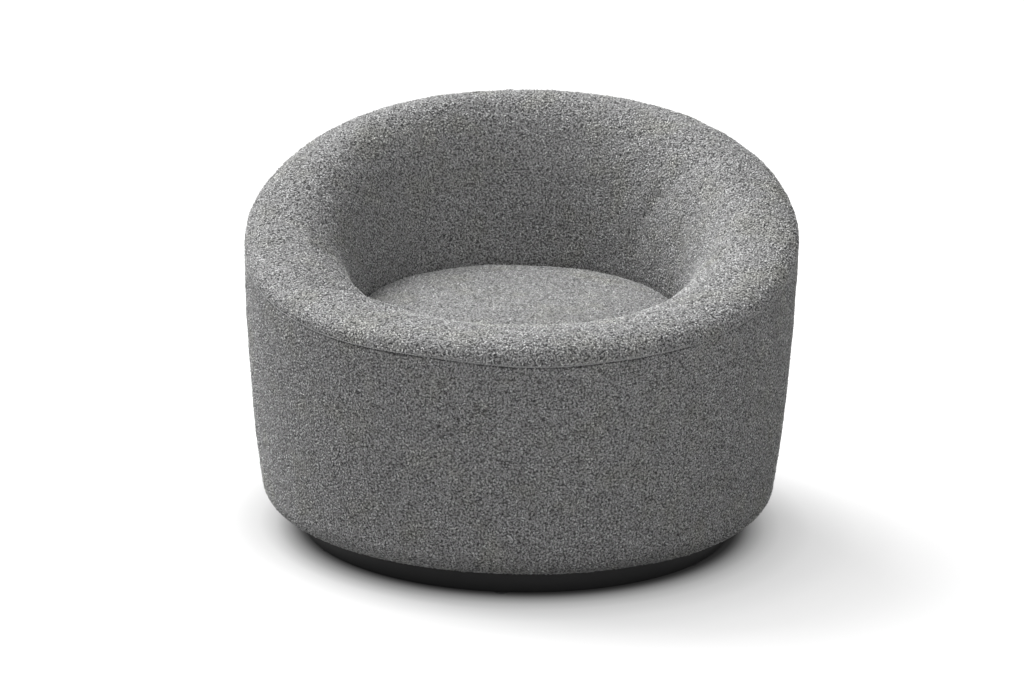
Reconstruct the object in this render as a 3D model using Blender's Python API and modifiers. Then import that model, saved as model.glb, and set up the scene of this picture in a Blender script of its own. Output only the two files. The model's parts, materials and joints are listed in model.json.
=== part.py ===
"""A round swivel tub chair: a padded drum on a ball-bearing swivel and a low round plinth.

Metres, +Z up. The origin is on the floor under the swivel axis, and the chair faces -Y.
A direction is an angle round that axis, from the front towards +X. A section is a list of
(radius, height) points in one direction. It runs up the outside, over the rim and down the
inside, so that faces made from it point outwards.
"""

from math import acos, asin, cos, hypot, pi, sin, sqrt, tan, tau

import bmesh
import bpy

# Overall form
overall_width = 1.000
underside_height = 0.049
front_rim_height = 0.487
side_rim_height = 0.594
back_rim_height = 0.733
rim_sweep = 0.0076
seam_drop_front = 0.0425
seam_drop_side = 0.042
seam_drop_back = 0.055
seam_band = 0.005
rim_shoulder = 0.076
arm_thickness = 0.202
widest_height = 0.500
wall_taper = 0.036
wall_bulge = 0.0066
bottom_edge_radius = 0.052
cover_turn_under = 0.040
roll_power = 2.2

# Layers and gaps
fit_gap = 0.0003
lap_gap = 0.0006
cover_thickness = 0.0025
cover_slack = 0.0005
wall_foam = 0.010
wall_board = 0.003
wall_board_rise = 0.004
rim_foam = 0.040
foam_lap = 0.020
tub_foam_at_seat = 0.038

# Plywood frame
ply = 0.018
rib_count = 12
rib_foot = 0.055
rail_width = 0.036
rail_depth = 0.030
seat_ring_ply = 0.016
seat_ring_top = 0.288
seat_ring_width = 0.134
seat_ring_bearing = 0.018
seat_ring_behind_foam = 0.030

# Seat springs, pad and cushion
spring_wire = 0.0038
spring_count = 5
spring_side_gap = 0.048
spring_swing = 0.020
spring_wave = 0.055
spring_points = 8
spring_arch = 0.012
spring_hold = 0.020
clip_length = 0.026
clip_width = 0.016
clip_strap = 0.0012
pad_thickness = 0.005
pad_edge_gap = 0.012
cushion_side_gap = 0.003
cushion_edge_thickness = 0.126
cushion_crown = 0.022
cushion_top_edge = 0.022
cushion_bottom_edge = 0.012
cushion_waist = 0.003
cushion_turn_under = 0.045

# Plinth
plinth_setback = 0.108
plinth_gap = 0.005
plinth_wall = 0.018
plinth_ledge = 0.012
plinth_ledge_height = 0.006
plinth_board_thickness = 0.015
plinth_chamfer = 0.0015
glide_height = 0.004
glide_radius = 0.0125
glide_count = 6

# Ball-bearing swivel
plate_side = 0.230
plate_corner = 0.014
plate_thickness = 0.003
plate_bolt_inset = 0.019
race_radius = 0.0675
race_land = 0.0175
race_groove = 0.002
race_slope = 0.005
ball_radius = 0.00475
ball_count = 12
ball_rings = 4
cage_width = 0.016
cage_thickness = 0.0012
pin_radius = 0.012
pin_bore = 0.008
pin_head = 0.008
pin_head_thickness = 0.0015
pin_clearance = 0.0005
screw_radius = 0.003
screw_head_radius = 0.0065
screw_head_height = 0.003
screw_length = 0.014
dust_cover_thickness = 0.0008
dust_cover_margin = 0.005

# Facets
directions = 36
round_steps = 36
plate_steps = 24
glide_steps = 12
small_steps = 8
edge_steps = 3
wall_steps = 3
roll_steps = 5
tub_steps = 5
sharp_angle = pi / 5
merge_distance = 0.00001
cutter_overrun = 0.004

# Heights and radii that follow from the sizes above
outer_radius = overall_width / 2
crest_radius = outer_radius - rim_shoulder
tub_radius = outer_radius - arm_thickness + cushion_side_gap
foam_inset = cover_thickness + cover_slack
board_inset = foam_inset + wall_foam + fit_gap + cover_slack
rib_clearance = fit_gap + ply / 2 * tan(pi / directions)
frame_inset = board_inset + wall_board + rib_clearance
edge_height = underside_height + bottom_edge_radius
floor_board_bottom = underside_height + cover_thickness
floor_board_top = floor_board_bottom + ply
seat_ring_bottom = seat_ring_top - seat_ring_ply
seat_ring_outer = tub_radius + foam_inset + tub_foam_at_seat + seat_ring_behind_foam
seat_ring_inner = seat_ring_outer - seat_ring_width
spring_spacing = 2 * (seat_ring_inner - spring_side_gap) / (spring_count - 1)
spring_seat = seat_ring_top + fit_gap
clip_top = spring_seat + spring_wire + fit_gap + clip_strap
pad_bottom = clip_top + fit_gap
cushion_bottom = pad_bottom + pad_thickness + fit_gap
tub_foot = seat_ring_top + fit_gap
tub_straight_top = cushion_bottom + cushion_edge_thickness - cushion_top_edge
cushion_radius = tub_radius - cushion_side_gap
dome_radius = cushion_radius - foam_inset - cushion_turn_under
tub_back_radius = tub_radius + foam_inset + tub_foam_at_seat
rail_outer = crest_radius + rail_width / 2
rail_inner = crest_radius - rail_width / 2
plinth_radius = outer_radius - plinth_setback
plinth_top = underside_height - plinth_gap
plinth_board_bottom = glide_height + plinth_ledge_height + fit_gap
plinth_board_top = plinth_board_bottom + plinth_board_thickness
dust_cover_top = floor_board_bottom - fit_gap
swivel_bottom = plinth_board_top + fit_gap
swivel_top = dust_cover_top - dust_cover_thickness - fit_gap
swivel_middle = (swivel_bottom + swivel_top) / 2
plate_bolt_reach = plate_side / 2 - plate_bolt_inset


# Form of the upholstered drum
def wall_radius(height):
    """Outer radius of the drum: tapered towards the floor, a little barrelled, upright at the rim."""
    share = (height - underside_height) / (widest_height - underside_height)
    share = min(max(share, 0), 1)
    return outer_radius - wall_taper * (1 - share) + wall_bulge * 4 * share * (1 - share)


edge_centre_radius = wall_radius(edge_height) - bottom_edge_radius
floor_board_radius = edge_centre_radius - fit_gap
turned_under_radius = edge_centre_radius - cover_turn_under


def round_the_rim(direction, front, side, back):
    """A size that has one value at the front, one at both sides and one at the back."""
    mean = (front + back) / 2
    return (
        (mean + side) / 2
        + (front - back) / 2 * cos(direction)
        + (mean - side) / 2 * cos(2 * direction)
    )


def crest_height(direction):
    level = round_the_rim(direction, front_rim_height, side_rim_height, back_rim_height)
    return level + rim_sweep * (cos(3 * direction) - cos(direction))


def seam_height(direction):
    drop = round_the_rim(direction, seam_drop_front, seam_drop_side, seam_drop_back)
    return crest_height(direction) - drop


def quarter(start, end, steps, rises):
    """Points of a rounded quarter turn after start, up to and with end."""
    points = []
    for step in range(1, steps + 1):
        angle = pi / 2 * step / steps
        along = sin(angle) ** (2 / roll_power)
        across = 1 - cos(angle) ** (2 / roll_power)
        if not rises:
            along, across = across, along
        radius = start[0] + (end[0] - start[0]) * across
        height = start[1] + (end[1] - start[1]) * along
        points.append((radius, height))
    points[-1] = end
    return points


def wall_rows(direction):
    """Heights that all the layers of the drum's wall share, from the bottom edge to the rim's foam."""
    rise = seam_height(direction) - foam_lap - edge_height
    return [edge_height + rise * step / wall_steps for step in range(wall_steps + 1)]


def drum_section(direction):
    """Outer skin of the drum, from its turned-under edge up to the seam."""
    points = [(turned_under_radius, underside_height)]
    for step in range(edge_steps):
        angle = pi / 2 * step / edge_steps
        radius = edge_centre_radius + bottom_edge_radius * sin(angle)
        points.append((radius, edge_height - bottom_edge_radius * cos(angle)))
    heights = wall_rows(direction) + [seam_height(direction) - fit_gap]
    return points + [(wall_radius(height), height) for height in heights]


def tub_section(direction):
    """Outer skin of the rim and the tub, from the seam over the crest and down beside the cushion."""
    seam = (wall_radius(seam_height(direction)), seam_height(direction))
    band = (seam[0], seam[1] + seam_band)
    crest = (crest_radius, crest_height(direction))
    shoulder = (tub_radius, tub_straight_top)
    points = [seam, band]
    points += quarter(band, crest, roll_steps, True)
    points += quarter(crest, shoulder, tub_steps, False)
    points.append((tub_radius, tub_foot))
    return points


def inset(section, distance):
    """The section moved inwards, to the left of its run."""
    moved = []
    last = len(section) - 1
    for place, (radius, height) in enumerate(section):
        before = section[max(place - 1, 0)]
        after = section[min(place + 1, last)]
        run, rise = after[0] - before[0], after[1] - before[1]
        length = hypot(run, rise)
        moved.append((radius - distance * rise / length, height + distance * run / length))
    return moved


def frame_line(direction):
    """Top of the frame under the rim's foam. It runs from the wall board over the outer shoulder,
    flat across the top rail and down the inner shoulder to the seat ring."""
    lap = wall_rows(direction)[-1]
    top = crest_height(direction) - foam_inset - rim_foam
    outside = (wall_radius(lap) - board_inset - wall_board, lap)
    inside = (tub_back_radius, tub_foot)
    outer = shoulder(outside, (rail_outer, top), edge_steps)
    inner = shoulder(inside, (rail_inner, top), tub_steps)
    return outer + [(crest_radius, top)] + inner[::-1]


def shoulder(start, end, steps):
    """A rounded shoulder that rises upright from start and ends level at end."""
    return [start] + quarter(start, end, steps, True)


# Making and placing objects
def clear_scene():
    for old in list(bpy.data.objects):
        bpy.data.objects.remove(old)


def new_collection(name, hidden=False):
    collection = bpy.data.collections.new(name)
    bpy.context.scene.collection.children.link(collection)
    collection.hide_render = hidden
    return collection


def new_material(name, colour, roughness, metallic=0.0):
    made = bpy.data.materials.new(name)
    made.use_nodes = True
    shader = made.node_tree.nodes["Principled BSDF"]
    shader.inputs["Base Color"].default_value = (*colour, 1)
    shader.inputs["Roughness"].default_value = roughness
    shader.inputs["Metallic"].default_value = metallic
    return made


def place(name, data, material, parent):
    """Puts a new object in the chair, on the body that carries it."""
    made = bpy.data.objects.new(name, data)
    chair.objects.link(made)
    made.parent = parent
    if material:
        data.materials.append(material)
    return made


def smooth(mesh):
    mesh.shade_smooth()
    mesh.set_sharp_from_angle(angle=sharp_angle)


def as_mesh(source, name):
    """The evaluated solid of an object as a mesh of its own, with its seams welded, in its place."""
    graph = bpy.context.evaluated_depsgraph_get()
    mesh = bpy.data.meshes.new_from_object(source.evaluated_get(graph))
    shape = bmesh.new()
    shape.from_mesh(mesh)
    bmesh.ops.remove_doubles(shape, verts=shape.verts, dist=merge_distance)
    shape.to_mesh(mesh)
    shape.free()
    parent, world = source.parent, source.matrix_world.copy()
    bpy.data.objects.remove(source)
    made = place(name, mesh, None, parent)
    made.matrix_world = world
    return made


def as_cutter(made):
    """Moves an object from the chair to the hidden cutters."""
    chair.objects.unlink(made)
    cutters.objects.link(made)
    made.hide_render = True
    made.display_type = "WIRE"
    return made


def combine(target, other, operation):
    step = target.modifiers.new(operation.lower(), "BOOLEAN")
    step.operation = operation
    step.object = as_cutter(other)


def add_wall(made, thickness):
    shell = made.modifiers.new("wall", "SOLIDIFY")
    shell.thickness = thickness
    shell.offset = -1


def loft(name, section, material, parent, wall=None):
    """A shape right round the axis, from a section that changes with direction. With a wall it is a
    shell: the section is its open outer skin. Without one the section is a closed outline."""
    rows = [section(tau * turn / directions) for turn in range(directions)]
    count = len(rows[0])
    points = []
    for turn, row in enumerate(rows):
        angle = tau * turn / directions
        points += [(r * sin(angle), -r * cos(angle), z) for r, z in row]
    faces = []
    for turn in range(directions):
        here, there = turn * count, (turn + 1) % directions * count
        for step in range(count - 1 if wall else count):
            up = (step + 1) % count
            faces.append((here + step, there + step, there + up, here + up))
    mesh = bpy.data.meshes.new(name)
    mesh.from_pydata(points, [], faces)
    smooth(mesh)
    made = place(name, mesh, material, parent)
    if wall:
        add_wall(made, wall)


def turned(name, profile, material, parent, steps=round_steps, wall=None, whole=True):
    """A profile of (radius, height) points turned about the axis, running down its outer side."""
    points = [(radius, 0, height) for radius, height in profile]
    edges = [(step, step + 1) for step in range(len(points) - 1)]
    if whole:
        edges.append((len(points) - 1, 0))
    mesh = bpy.data.meshes.new(name)
    mesh.from_pydata(points, edges, [])
    outline = place(f"{name}_outline", mesh, material, parent)
    turn = outline.modifiers.new("turn", "SCREW")
    turn.steps = turn.render_steps = steps
    turn.use_merge_vertices = True
    turn.merge_threshold = merge_distance
    made = as_mesh(outline, name)
    smooth(made.data)
    if wall:
        add_wall(made, wall)
    return made


def disc_profile(radius, bottom, top):
    return [(0, top), (radius, top), (radius, bottom), (0, bottom)]


def ring_profile(inner, outer, bottom, top):
    return [(outer, top), (outer, bottom), (inner, bottom), (inner, top)]


def drill(target, places, radius, bottom, top):
    """Cuts upright round holes through the target at each (x, y)."""
    for number, (x, y) in enumerate(places):
        mesh = bpy.data.meshes.new("drill")
        shape = bmesh.new()
        bmesh.ops.create_cone(
            shape,
            cap_ends=True,
            segments=small_steps,
            radius1=radius,
            radius2=radius,
            depth=top - bottom,
        )
        shape.to_mesh(mesh)
        shape.free()
        hole = place(f"{target.name}_hole_{number}", mesh, None, target.parent)
        hole.location = (x, y, (top + bottom) / 2)
        combine(target, hole, "DIFFERENCE")


def flat_outline(name, points, thickness, material, parent):
    """A closed outline in its own XY plane, cut from sheet of one thickness."""
    curve = bpy.data.curves.new(name, "CURVE")
    curve.dimensions = "2D"
    curve.fill_mode = "BOTH"
    curve.extrude = thickness / 2
    spline = curve.splines.new("POLY")
    spline.points.add(len(points) - 1)
    for point, (x, y) in zip(spline.points, points):
        point.co = (x, y, 0, 1)
    spline.use_cyclic_u = True
    return place(name, curve, material, parent)


def wire(name, points, diameter, material, parent):
    curve = bpy.data.curves.new(name, "CURVE")
    curve.dimensions = "3D"
    curve.bevel_depth = diameter / 2
    curve.bevel_resolution = 0
    curve.use_fill_caps = True
    spline = curve.splines.new("POLY")
    spline.points.add(len(points) - 1)
    for point, position in zip(spline.points, points):
        point.co = (*position, 1)
    place(name, curve, material, parent)


# Plinth
def make_plinth(parent):
    inside = plinth_radius - plinth_wall
    ledge = inside - plinth_ledge
    ledge_top = glide_height + plinth_ledge_height
    profile = [
        (plinth_radius - plinth_chamfer, plinth_top),
        (plinth_radius, plinth_top - plinth_chamfer),
        (plinth_radius, glide_height + plinth_chamfer),
        (plinth_radius - plinth_chamfer, glide_height),
        (ledge, glide_height),
        (ledge, ledge_top),
        (inside, ledge_top),
        (inside, plinth_top),
    ]
    turned("plinth_ring", profile, black_lacquer, parent)
    disc = disc_profile(inside - fit_gap, plinth_board_bottom, plinth_board_top)
    board = turned("plinth_board", disc, plywood, parent, whole=False)
    drill(
        board,
        plate_corners(),
        screw_radius + fit_gap,
        plinth_board_bottom - cutter_overrun,
        plinth_board_top + cutter_overrun,
    )
    middle = (ledge + plinth_radius) / 2
    for number in range(glide_count):
        angle = tau * number / glide_count
        foot_top = glide_height - fit_gap
        chamfer = foot_top / 4
        foot = [
            (0, foot_top),
            (glide_radius, foot_top),
            (glide_radius, chamfer),
            (glide_radius - chamfer, 0),
            (0, 0),
        ]
        glide = turned(
            f"felt_glide_{number + 1}", foot, felt, parent, steps=glide_steps, whole=False
        )
        glide.location = (middle * sin(angle), -middle * cos(angle), 0)


def plate_corners():
    reach = plate_bolt_reach
    return [(reach, reach), (-reach, reach), (-reach, -reach), (reach, -reach)]


# Swivel bearing
def plate_profile(level, up):
    """Section of a swivel plate. A flat flange steps up to a land, and the land has a groove for the
    balls. level is the flange's outer face, and up is 1 for the lower plate and -1 for the upper."""
    land_outer = race_radius + race_land
    hole = pin_radius + pin_clearance
    groove = swivel_middle - up * (ball_radius + fit_gap)
    land = groove + up * race_groove
    flat_of_facet = race_radius * (1 - cos(pi / plate_steps))
    half_groove = sqrt(ball_radius**2 - (ball_radius - race_groove) ** 2) + fit_gap + flat_of_facet
    face = [
        (plate_side, level + up * plate_thickness),
        (land_outer + race_slope, level + up * plate_thickness),
        (land_outer, land),
        (race_radius + half_groove, land),
        (race_radius + half_groove / 2, groove + up * race_groove / 4),
        (race_radius, groove),
        (race_radius - half_groove / 2, groove + up * race_groove / 4),
        (race_radius - half_groove, land),
        (hole, land),
    ]
    back = [
        (hole, land - up * plate_thickness),
        (race_radius - half_groove, land - up * plate_thickness),
        (race_radius, groove - up * plate_thickness),
        (race_radius + half_groove, land - up * plate_thickness),
        (land_outer - plate_thickness / 2, land - up * plate_thickness),
        (land_outer + race_slope - plate_thickness / 2, level),
        (plate_side, level),
    ]
    outline = face + back
    return outline[::-1] if up > 0 else outline


def swivel_plate(name, level, up, parent):
    """A turned plate, cut to a square with rounded corners and drilled for its screws."""
    reach = plate_side / 2 - plate_corner
    outline = []
    for corner, (x, y) in enumerate([(1, 1), (-1, 1), (-1, -1), (1, -1)]):
        for step in range(edge_steps + 1):
            angle = pi / 2 * (corner + step / edge_steps)
            outline.append(
                (x * reach + plate_corner * cos(angle), y * reach + plate_corner * sin(angle))
            )
    square = flat_outline(f"{name}_square_outline", outline, 2 * plate_side, None, parent)
    plate = turned(name, plate_profile(level, up), steel, parent, steps=plate_steps)
    combine(plate, as_mesh(square, f"{name}_square"), "INTERSECT")
    drill(
        plate,
        plate_corners(),
        screw_radius + fit_gap,
        level - cutter_overrun,
        level + cutter_overrun,
    )


def screw(name, x, y, head_face, up, parent):
    """A pan-head wood screw. head_face is where its head bears, and up points from there to the head."""
    inner = screw_head_radius - screw_head_height / 2
    head = head_face + up * (screw_head_height + fit_gap)
    profile = [
        (0, head),
        (inner, head),
        (screw_head_radius, head - up * screw_head_height / 2),
        (screw_head_radius, head_face + up * fit_gap),
        (screw_radius, head_face + up * fit_gap),
        (screw_radius, head_face - up * (screw_length - screw_radius)),
        (0, head_face - up * screw_length),
    ]
    if up < 0:
        profile.reverse()
    made = turned(name, profile, steel, parent, steps=small_steps, whole=False)
    made.location = (x, y, 0)


def make_swivel(base, cage, seat):
    swivel_plate("swivel_lower_plate", swivel_bottom, 1, base)
    swivel_plate("swivel_upper_plate", swivel_top, -1, seat)
    for number, (x, y) in enumerate(plate_corners(), 1):
        screw(f"lower_plate_screw_{number}", x, y, swivel_bottom + plate_thickness, 1, base)
        screw(f"upper_plate_screw_{number}", x, y, swivel_top - plate_thickness, -1, seat)
    grip = ball_radius + fit_gap - race_groove + plate_thickness + fit_gap
    low, high = swivel_middle - grip, swivel_middle + grip
    head = pin_radius + pin_head
    pin = [
        (head, high + pin_head_thickness),
        (head, high),
        (pin_radius, high),
        (pin_radius, low),
        (head, low),
        (head, low - pin_head_thickness),
        (pin_bore, low - pin_head_thickness),
        (pin_bore, high + pin_head_thickness),
    ]
    turned("swivel_pin", pin, steel, base, steps=plate_steps)
    make_ball_cage(cage)


def make_ball_cage(parent):
    """The flat cage ring with its balls held in it, which rolls round at half the seat's speed."""
    half = cage_thickness / 2
    ring = ring_profile(
        race_radius - cage_width / 2,
        race_radius + cage_width / 2,
        swivel_middle - half,
        swivel_middle + half,
    )
    cage = turned("ball_cage", ring, steel, parent, steps=plate_steps)
    for number in range(ball_count):
        angle = tau * (number + 1 / 4) / ball_count
        mesh = bpy.data.meshes.new("ball")
        shape = bmesh.new()
        bmesh.ops.create_uvsphere(
            shape, u_segments=small_steps, v_segments=ball_rings, radius=ball_radius
        )
        shape.to_mesh(mesh)
        shape.free()
        ball = place(f"ball_{number + 1}", mesh, None, parent)
        ball.location = (race_radius * cos(angle), race_radius * sin(angle), swivel_middle)
        ball.rotation_euler.z = angle
        combine(cage, ball, "UNION")


# Plywood frame
def rib_outline(direction):
    """Profile of one upright rib. It stands on the floor board, follows the drum outside and the
    foam inside, and is notched for the top rail and for the seat ring."""
    lower_side = max(acos(cos(direction)) - ply / 2 / tub_back_radius, 0)
    foot = floor_board_top + fit_gap
    bend = bottom_edge_radius - frame_inset
    first = asin((edge_height - foot) / bend)
    outline = [(floor_board_radius - rib_foot, foot)]
    for step in range(edge_steps):
        angle = first * (1 - step / edge_steps)
        outline.append((edge_centre_radius + bend * cos(angle), edge_height - bend * sin(angle)))
    outline += [(wall_radius(height) - frame_inset, height) for height in wall_rows(lower_side)[:-1]]
    line = inset(frame_line(lower_side), rib_clearance)
    notch_outer = rail_outer + fit_gap
    notch_inner = rail_inner - rib_clearance
    notch_seat = rail_top(lower_side) - rail_depth - lap_gap
    outer_line = [point for point in line if point[0] > notch_outer]
    inner_line = [point for point in line if point[0] < notch_inner]
    outline += outer_line
    outline += [(notch_outer, outer_line[-1][1]), (notch_outer, notch_seat)]
    outline += [(notch_inner, notch_seat), (notch_inner, inner_line[0][1])]
    outline += inner_line
    outline += [
        (seat_ring_outer + fit_gap, seat_ring_top + fit_gap),
        (seat_ring_outer + fit_gap, seat_ring_bottom - fit_gap),
        (seat_ring_outer - seat_ring_bearing, seat_ring_bottom - fit_gap),
    ]
    return outline


def make_frame(parent):
    floor = turned(
        "floor_board",
        disc_profile(floor_board_radius, floor_board_bottom, floor_board_top),
        plywood,
        parent,
        whole=False,
    )
    drill(
        floor,
        plate_corners(),
        screw_radius + fit_gap,
        floor_board_bottom - cutter_overrun,
        floor_board_top + cutter_overrun,
    )
    turned(
        "seat_ring",
        ring_profile(seat_ring_inner, seat_ring_outer, seat_ring_bottom, seat_ring_top),
        plywood,
        parent,
    )
    for number in range(rib_count):
        direction = tau * number / rib_count
        rib = flat_outline(f"rib_{number + 1:02d}", rib_outline(direction), ply, plywood, parent)
        rib.rotation_euler = (pi / 2, 0, direction - pi / 2)
    loft("top_rail", rail_section, plywood, parent)


def rail_top(direction):
    return crest_height(direction) - foam_inset - rim_foam - rib_clearance


def rail_section(direction):
    top = rail_top(direction)
    return ring_profile(rail_inner, rail_outer, top - rail_depth, top)[::-1]


# Seat springs
def dome(radius):
    """How far the springs arch above the seat ring at one radius."""
    return spring_arch * max(1 - (radius / dome_radius) ** 2, 0)


def make_springs(parent):
    clip_number = 0
    for number in range(spring_count):
        x = (number - (spring_count - 1) / 2) * spring_spacing
        reach = sqrt((seat_ring_inner + spring_hold) ** 2 - x**2)
        wire(f"seat_spring_{number + 1}", spring_path(x, reach), spring_wire, steel, parent)
        for end in (-1, 1):
            clip_number += 1
            spring_clip(f"spring_clip_{clip_number:02d}", x, end, reach, parent)


def spring_path(x, reach):
    """A sinuous spring. Its bars cross square to its length, and the clips hold the bars at its ends."""
    waves = round(2 * reach / spring_wave)
    pitch = 2 * reach / waves
    level = spring_seat + spring_wire / 2
    steps = waves * spring_points
    points = [(x - spring_swing / 2, -reach, level)]
    for step in range(steps + 1):
        angle = tau * waves * step / steps
        side = x + spring_swing * sin(angle)
        along = -reach + pitch * (angle - sin(2 * angle) / 2) / tau
        points.append((side, along, level + dome(hypot(side, along))))
    points.append((x + spring_swing / 2, reach, level))
    return points


def spring_clip(name, x, end, reach, parent):
    """A bent steel strap on the seat ring, hooked over the bar at one end of a spring."""
    side = spring_wire / 2 + fit_gap
    hook = spring_wire + fit_gap
    outline = [
        (side, 0),
        (clip_length, 0),
        (clip_length, clip_strap),
        (side + clip_strap, clip_strap),
        (side + clip_strap, hook + clip_strap),
        (-side, hook + clip_strap),
        (-side, hook),
        (side, hook),
    ]
    strap = flat_outline(name, outline, clip_width, steel, parent)
    strap.location = (x, end * reach, spring_seat)
    strap.rotation_euler = (pi / 2, 0, end * pi / 2)


# Upholstery
def make_upholstery(parent):
    loft("drum_cover", drum_section, boucle, parent, wall=cover_thickness)
    loft("tub_cover", tub_section, boucle, parent, wall=cover_thickness)
    loft("wall_foam", wall_foam_section, foam, parent)
    loft("outer_board", outer_board_section, fibreboard, parent, wall=wall_board)
    loft("rim_foam", rim_foam_section, foam, parent)
    turned("seat_pad", pad_profile(), felt, parent, whole=False)
    turned(
        "seat_cushion_cover",
        cushion_profile(0, cushion_turn_under),
        boucle,
        parent,
        wall=cover_thickness,
        whole=False,
    )
    turned("seat_cushion_foam", cushion_foam_profile(), foam, parent, whole=False)
    dust = disc_profile(
        turned_under_radius - dust_cover_margin, dust_cover_top - dust_cover_thickness, dust_cover_top
    )
    sheet = turned("dust_cover", dust, cambric, parent, whole=False)
    drill(
        sheet,
        plate_corners(),
        screw_radius + fit_gap,
        dust_cover_top - cutter_overrun,
        dust_cover_top + cutter_overrun,
    )


def wall_foam_section(direction):
    """Thin foam between the drum's cover and its board, from the bottom edge up to the rim's foam."""
    skin = drum_section(direction)[1:-1]
    start = floor_board_radius + fit_gap
    top = skin[-1][1] - lap_gap
    outline = []
    for layer in (inset(skin, foam_inset), inset(skin, foam_inset + wall_foam)[::-1]):
        outline += [(max(radius, start), min(height, top)) for radius, height in layer]
    return outline


def outer_board_section(direction):
    heights = wall_rows(direction)
    heights[0] += wall_board_rise
    heights[-1] -= lap_gap
    return [(wall_radius(height) - board_inset, height) for height in heights]


def rim_foam_section(direction):
    """Thick foam over the rim and down the tub, between the covers' skin and the frame."""
    lap = wall_rows(direction)[-1]
    skin = inset([(wall_radius(lap), lap)] + tub_section(direction), foam_inset)
    skin[0] = (skin[0][0], lap)
    return skin + frame_line(direction)[::-1]


def domed(level):
    """Points of an arched face, from the middle to the edge of the arch."""
    radii = [dome_radius * step / edge_steps for step in range(edge_steps + 1)]
    return [(radius, level + dome(radius)) for radius in radii]


def pad_profile():
    """The felt pad that lies over the arched springs."""
    edge = tub_radius - pad_edge_gap
    top = pad_bottom + pad_thickness
    return domed(top) + [(edge, top), (edge, pad_bottom)] + domed(pad_bottom)[::-1]


def cushion_profile(depth, turn_under=None):
    """The cushion's skin, or the same moved inwards by a depth, from its crown down and under."""
    radius = cushion_radius - depth
    top_bend = cushion_top_edge - depth
    bottom_chamfer = cushion_bottom_edge - depth * (2 - sqrt(2))
    bottom = cushion_bottom + depth
    edge_top = cushion_bottom + cushion_edge_thickness - cushion_top_edge
    crown_reach = radius - top_bend
    points = []
    for step in range(edge_steps + 1):
        share = step / edge_steps
        lift = cushion_crown * (1 - share**2)
        points.append((crown_reach * share, edge_top + top_bend + lift))
    for step in range(1, edge_steps + 1):
        angle = pi / 2 * step / edge_steps
        points.append((crown_reach + top_bend * sin(angle), edge_top + top_bend * cos(angle)))
    low = bottom + bottom_chamfer
    points.append((radius - cushion_waist, (edge_top + low) / 2))
    points.append((radius, low))
    points.append((radius - bottom_chamfer, bottom))
    if turn_under:
        points.append((radius - turn_under, bottom))
    return points


def cushion_foam_profile():
    """The foam fills its cover. Under the seat it is hollowed to lie on the arched pad."""
    points = cushion_profile(foam_inset)
    points.append((dome_radius, cushion_bottom + foam_inset))
    return points + domed(cushion_bottom)[::-1]


clear_scene()
chair = new_collection("swivel_tub_chair")
cutters = new_collection("cutters", hidden=True)

boucle = new_material("grey_boucle", (0.165, 0.17, 0.172), 0.95)
foam = new_material("polyurethane_foam", (0.80, 0.74, 0.55), 0.9)
plywood = new_material("birch_plywood", (0.62, 0.46, 0.28), 0.6)
fibreboard = new_material("fibreboard", (0.36, 0.26, 0.17), 0.8)
black_lacquer = new_material("black_lacquer", (0.012, 0.012, 0.012), 0.45)
steel = new_material("zinc_plated_steel", (0.60, 0.60, 0.58), 0.35, 1.0)
felt = new_material("felt", (0.10, 0.10, 0.10), 0.95)
cambric = new_material("black_cambric", (0.02, 0.02, 0.02), 0.9)

axes = {}
for body in ("base", "bearing", "seat"):
    axes[body] = bpy.data.objects.new(f"{body}_axis", None)
    chair.objects.link(axes[body])

make_plinth(axes["base"])
make_swivel(axes["base"], axes["bearing"], axes["seat"])
make_frame(axes["seat"])
make_springs(axes["seat"])
make_upholstery(axes["seat"])
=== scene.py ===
# %% [markdown]
# A round swivel tub chair in grey boucle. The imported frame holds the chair's construction at its real size.
# This script dresses it: cloth with real curls of yarn, foam, timber, steel, light and a camera. Each cell
# makes one thing. The numbers are metres unless a comment says otherwise.

# %% Load the frame
import json
from math import cos, pi, radians, sin, tau

import bpy
import numpy as np
from mathutils import Euler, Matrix, Quaternion, Vector, noise


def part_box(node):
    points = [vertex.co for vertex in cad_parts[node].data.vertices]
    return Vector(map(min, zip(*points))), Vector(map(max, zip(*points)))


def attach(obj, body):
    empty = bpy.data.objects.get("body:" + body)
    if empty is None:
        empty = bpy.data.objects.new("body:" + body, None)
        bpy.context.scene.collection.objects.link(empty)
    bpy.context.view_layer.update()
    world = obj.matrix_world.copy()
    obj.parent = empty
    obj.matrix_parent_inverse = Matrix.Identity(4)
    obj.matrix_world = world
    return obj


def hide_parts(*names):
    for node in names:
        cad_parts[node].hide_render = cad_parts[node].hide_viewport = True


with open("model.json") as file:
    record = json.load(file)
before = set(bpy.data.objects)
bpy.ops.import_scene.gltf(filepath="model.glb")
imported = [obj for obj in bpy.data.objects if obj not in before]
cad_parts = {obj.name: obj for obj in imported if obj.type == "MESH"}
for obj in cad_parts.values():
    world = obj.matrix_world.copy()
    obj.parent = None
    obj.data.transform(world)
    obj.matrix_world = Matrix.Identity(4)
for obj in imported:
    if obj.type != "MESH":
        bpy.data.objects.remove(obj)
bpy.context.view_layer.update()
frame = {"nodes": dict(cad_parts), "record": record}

nodes = frame["nodes"]

# %% [markdown]
# Colours are written as sRGB hex values, the way a colour card gives them, but shaders work in linear
# light. One function turns the one into the other. Another adds a node to any tree, for a material or for
# geometry: its named inputs take a value, or the output of another node, which it then links.


# %% Colour and node helpers
def linear(hex_colour):
    """An sRGB hex colour as linear red, green and blue, with full alpha."""
    shares = [int(hex_colour[start:start + 2], 16) / 255 for start in (1, 3, 5)]
    return [s / 12.92 if s <= 0.04045 else ((s + 0.055) / 1.055) ** 2.4 for s in shares] + [1.0]


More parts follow.
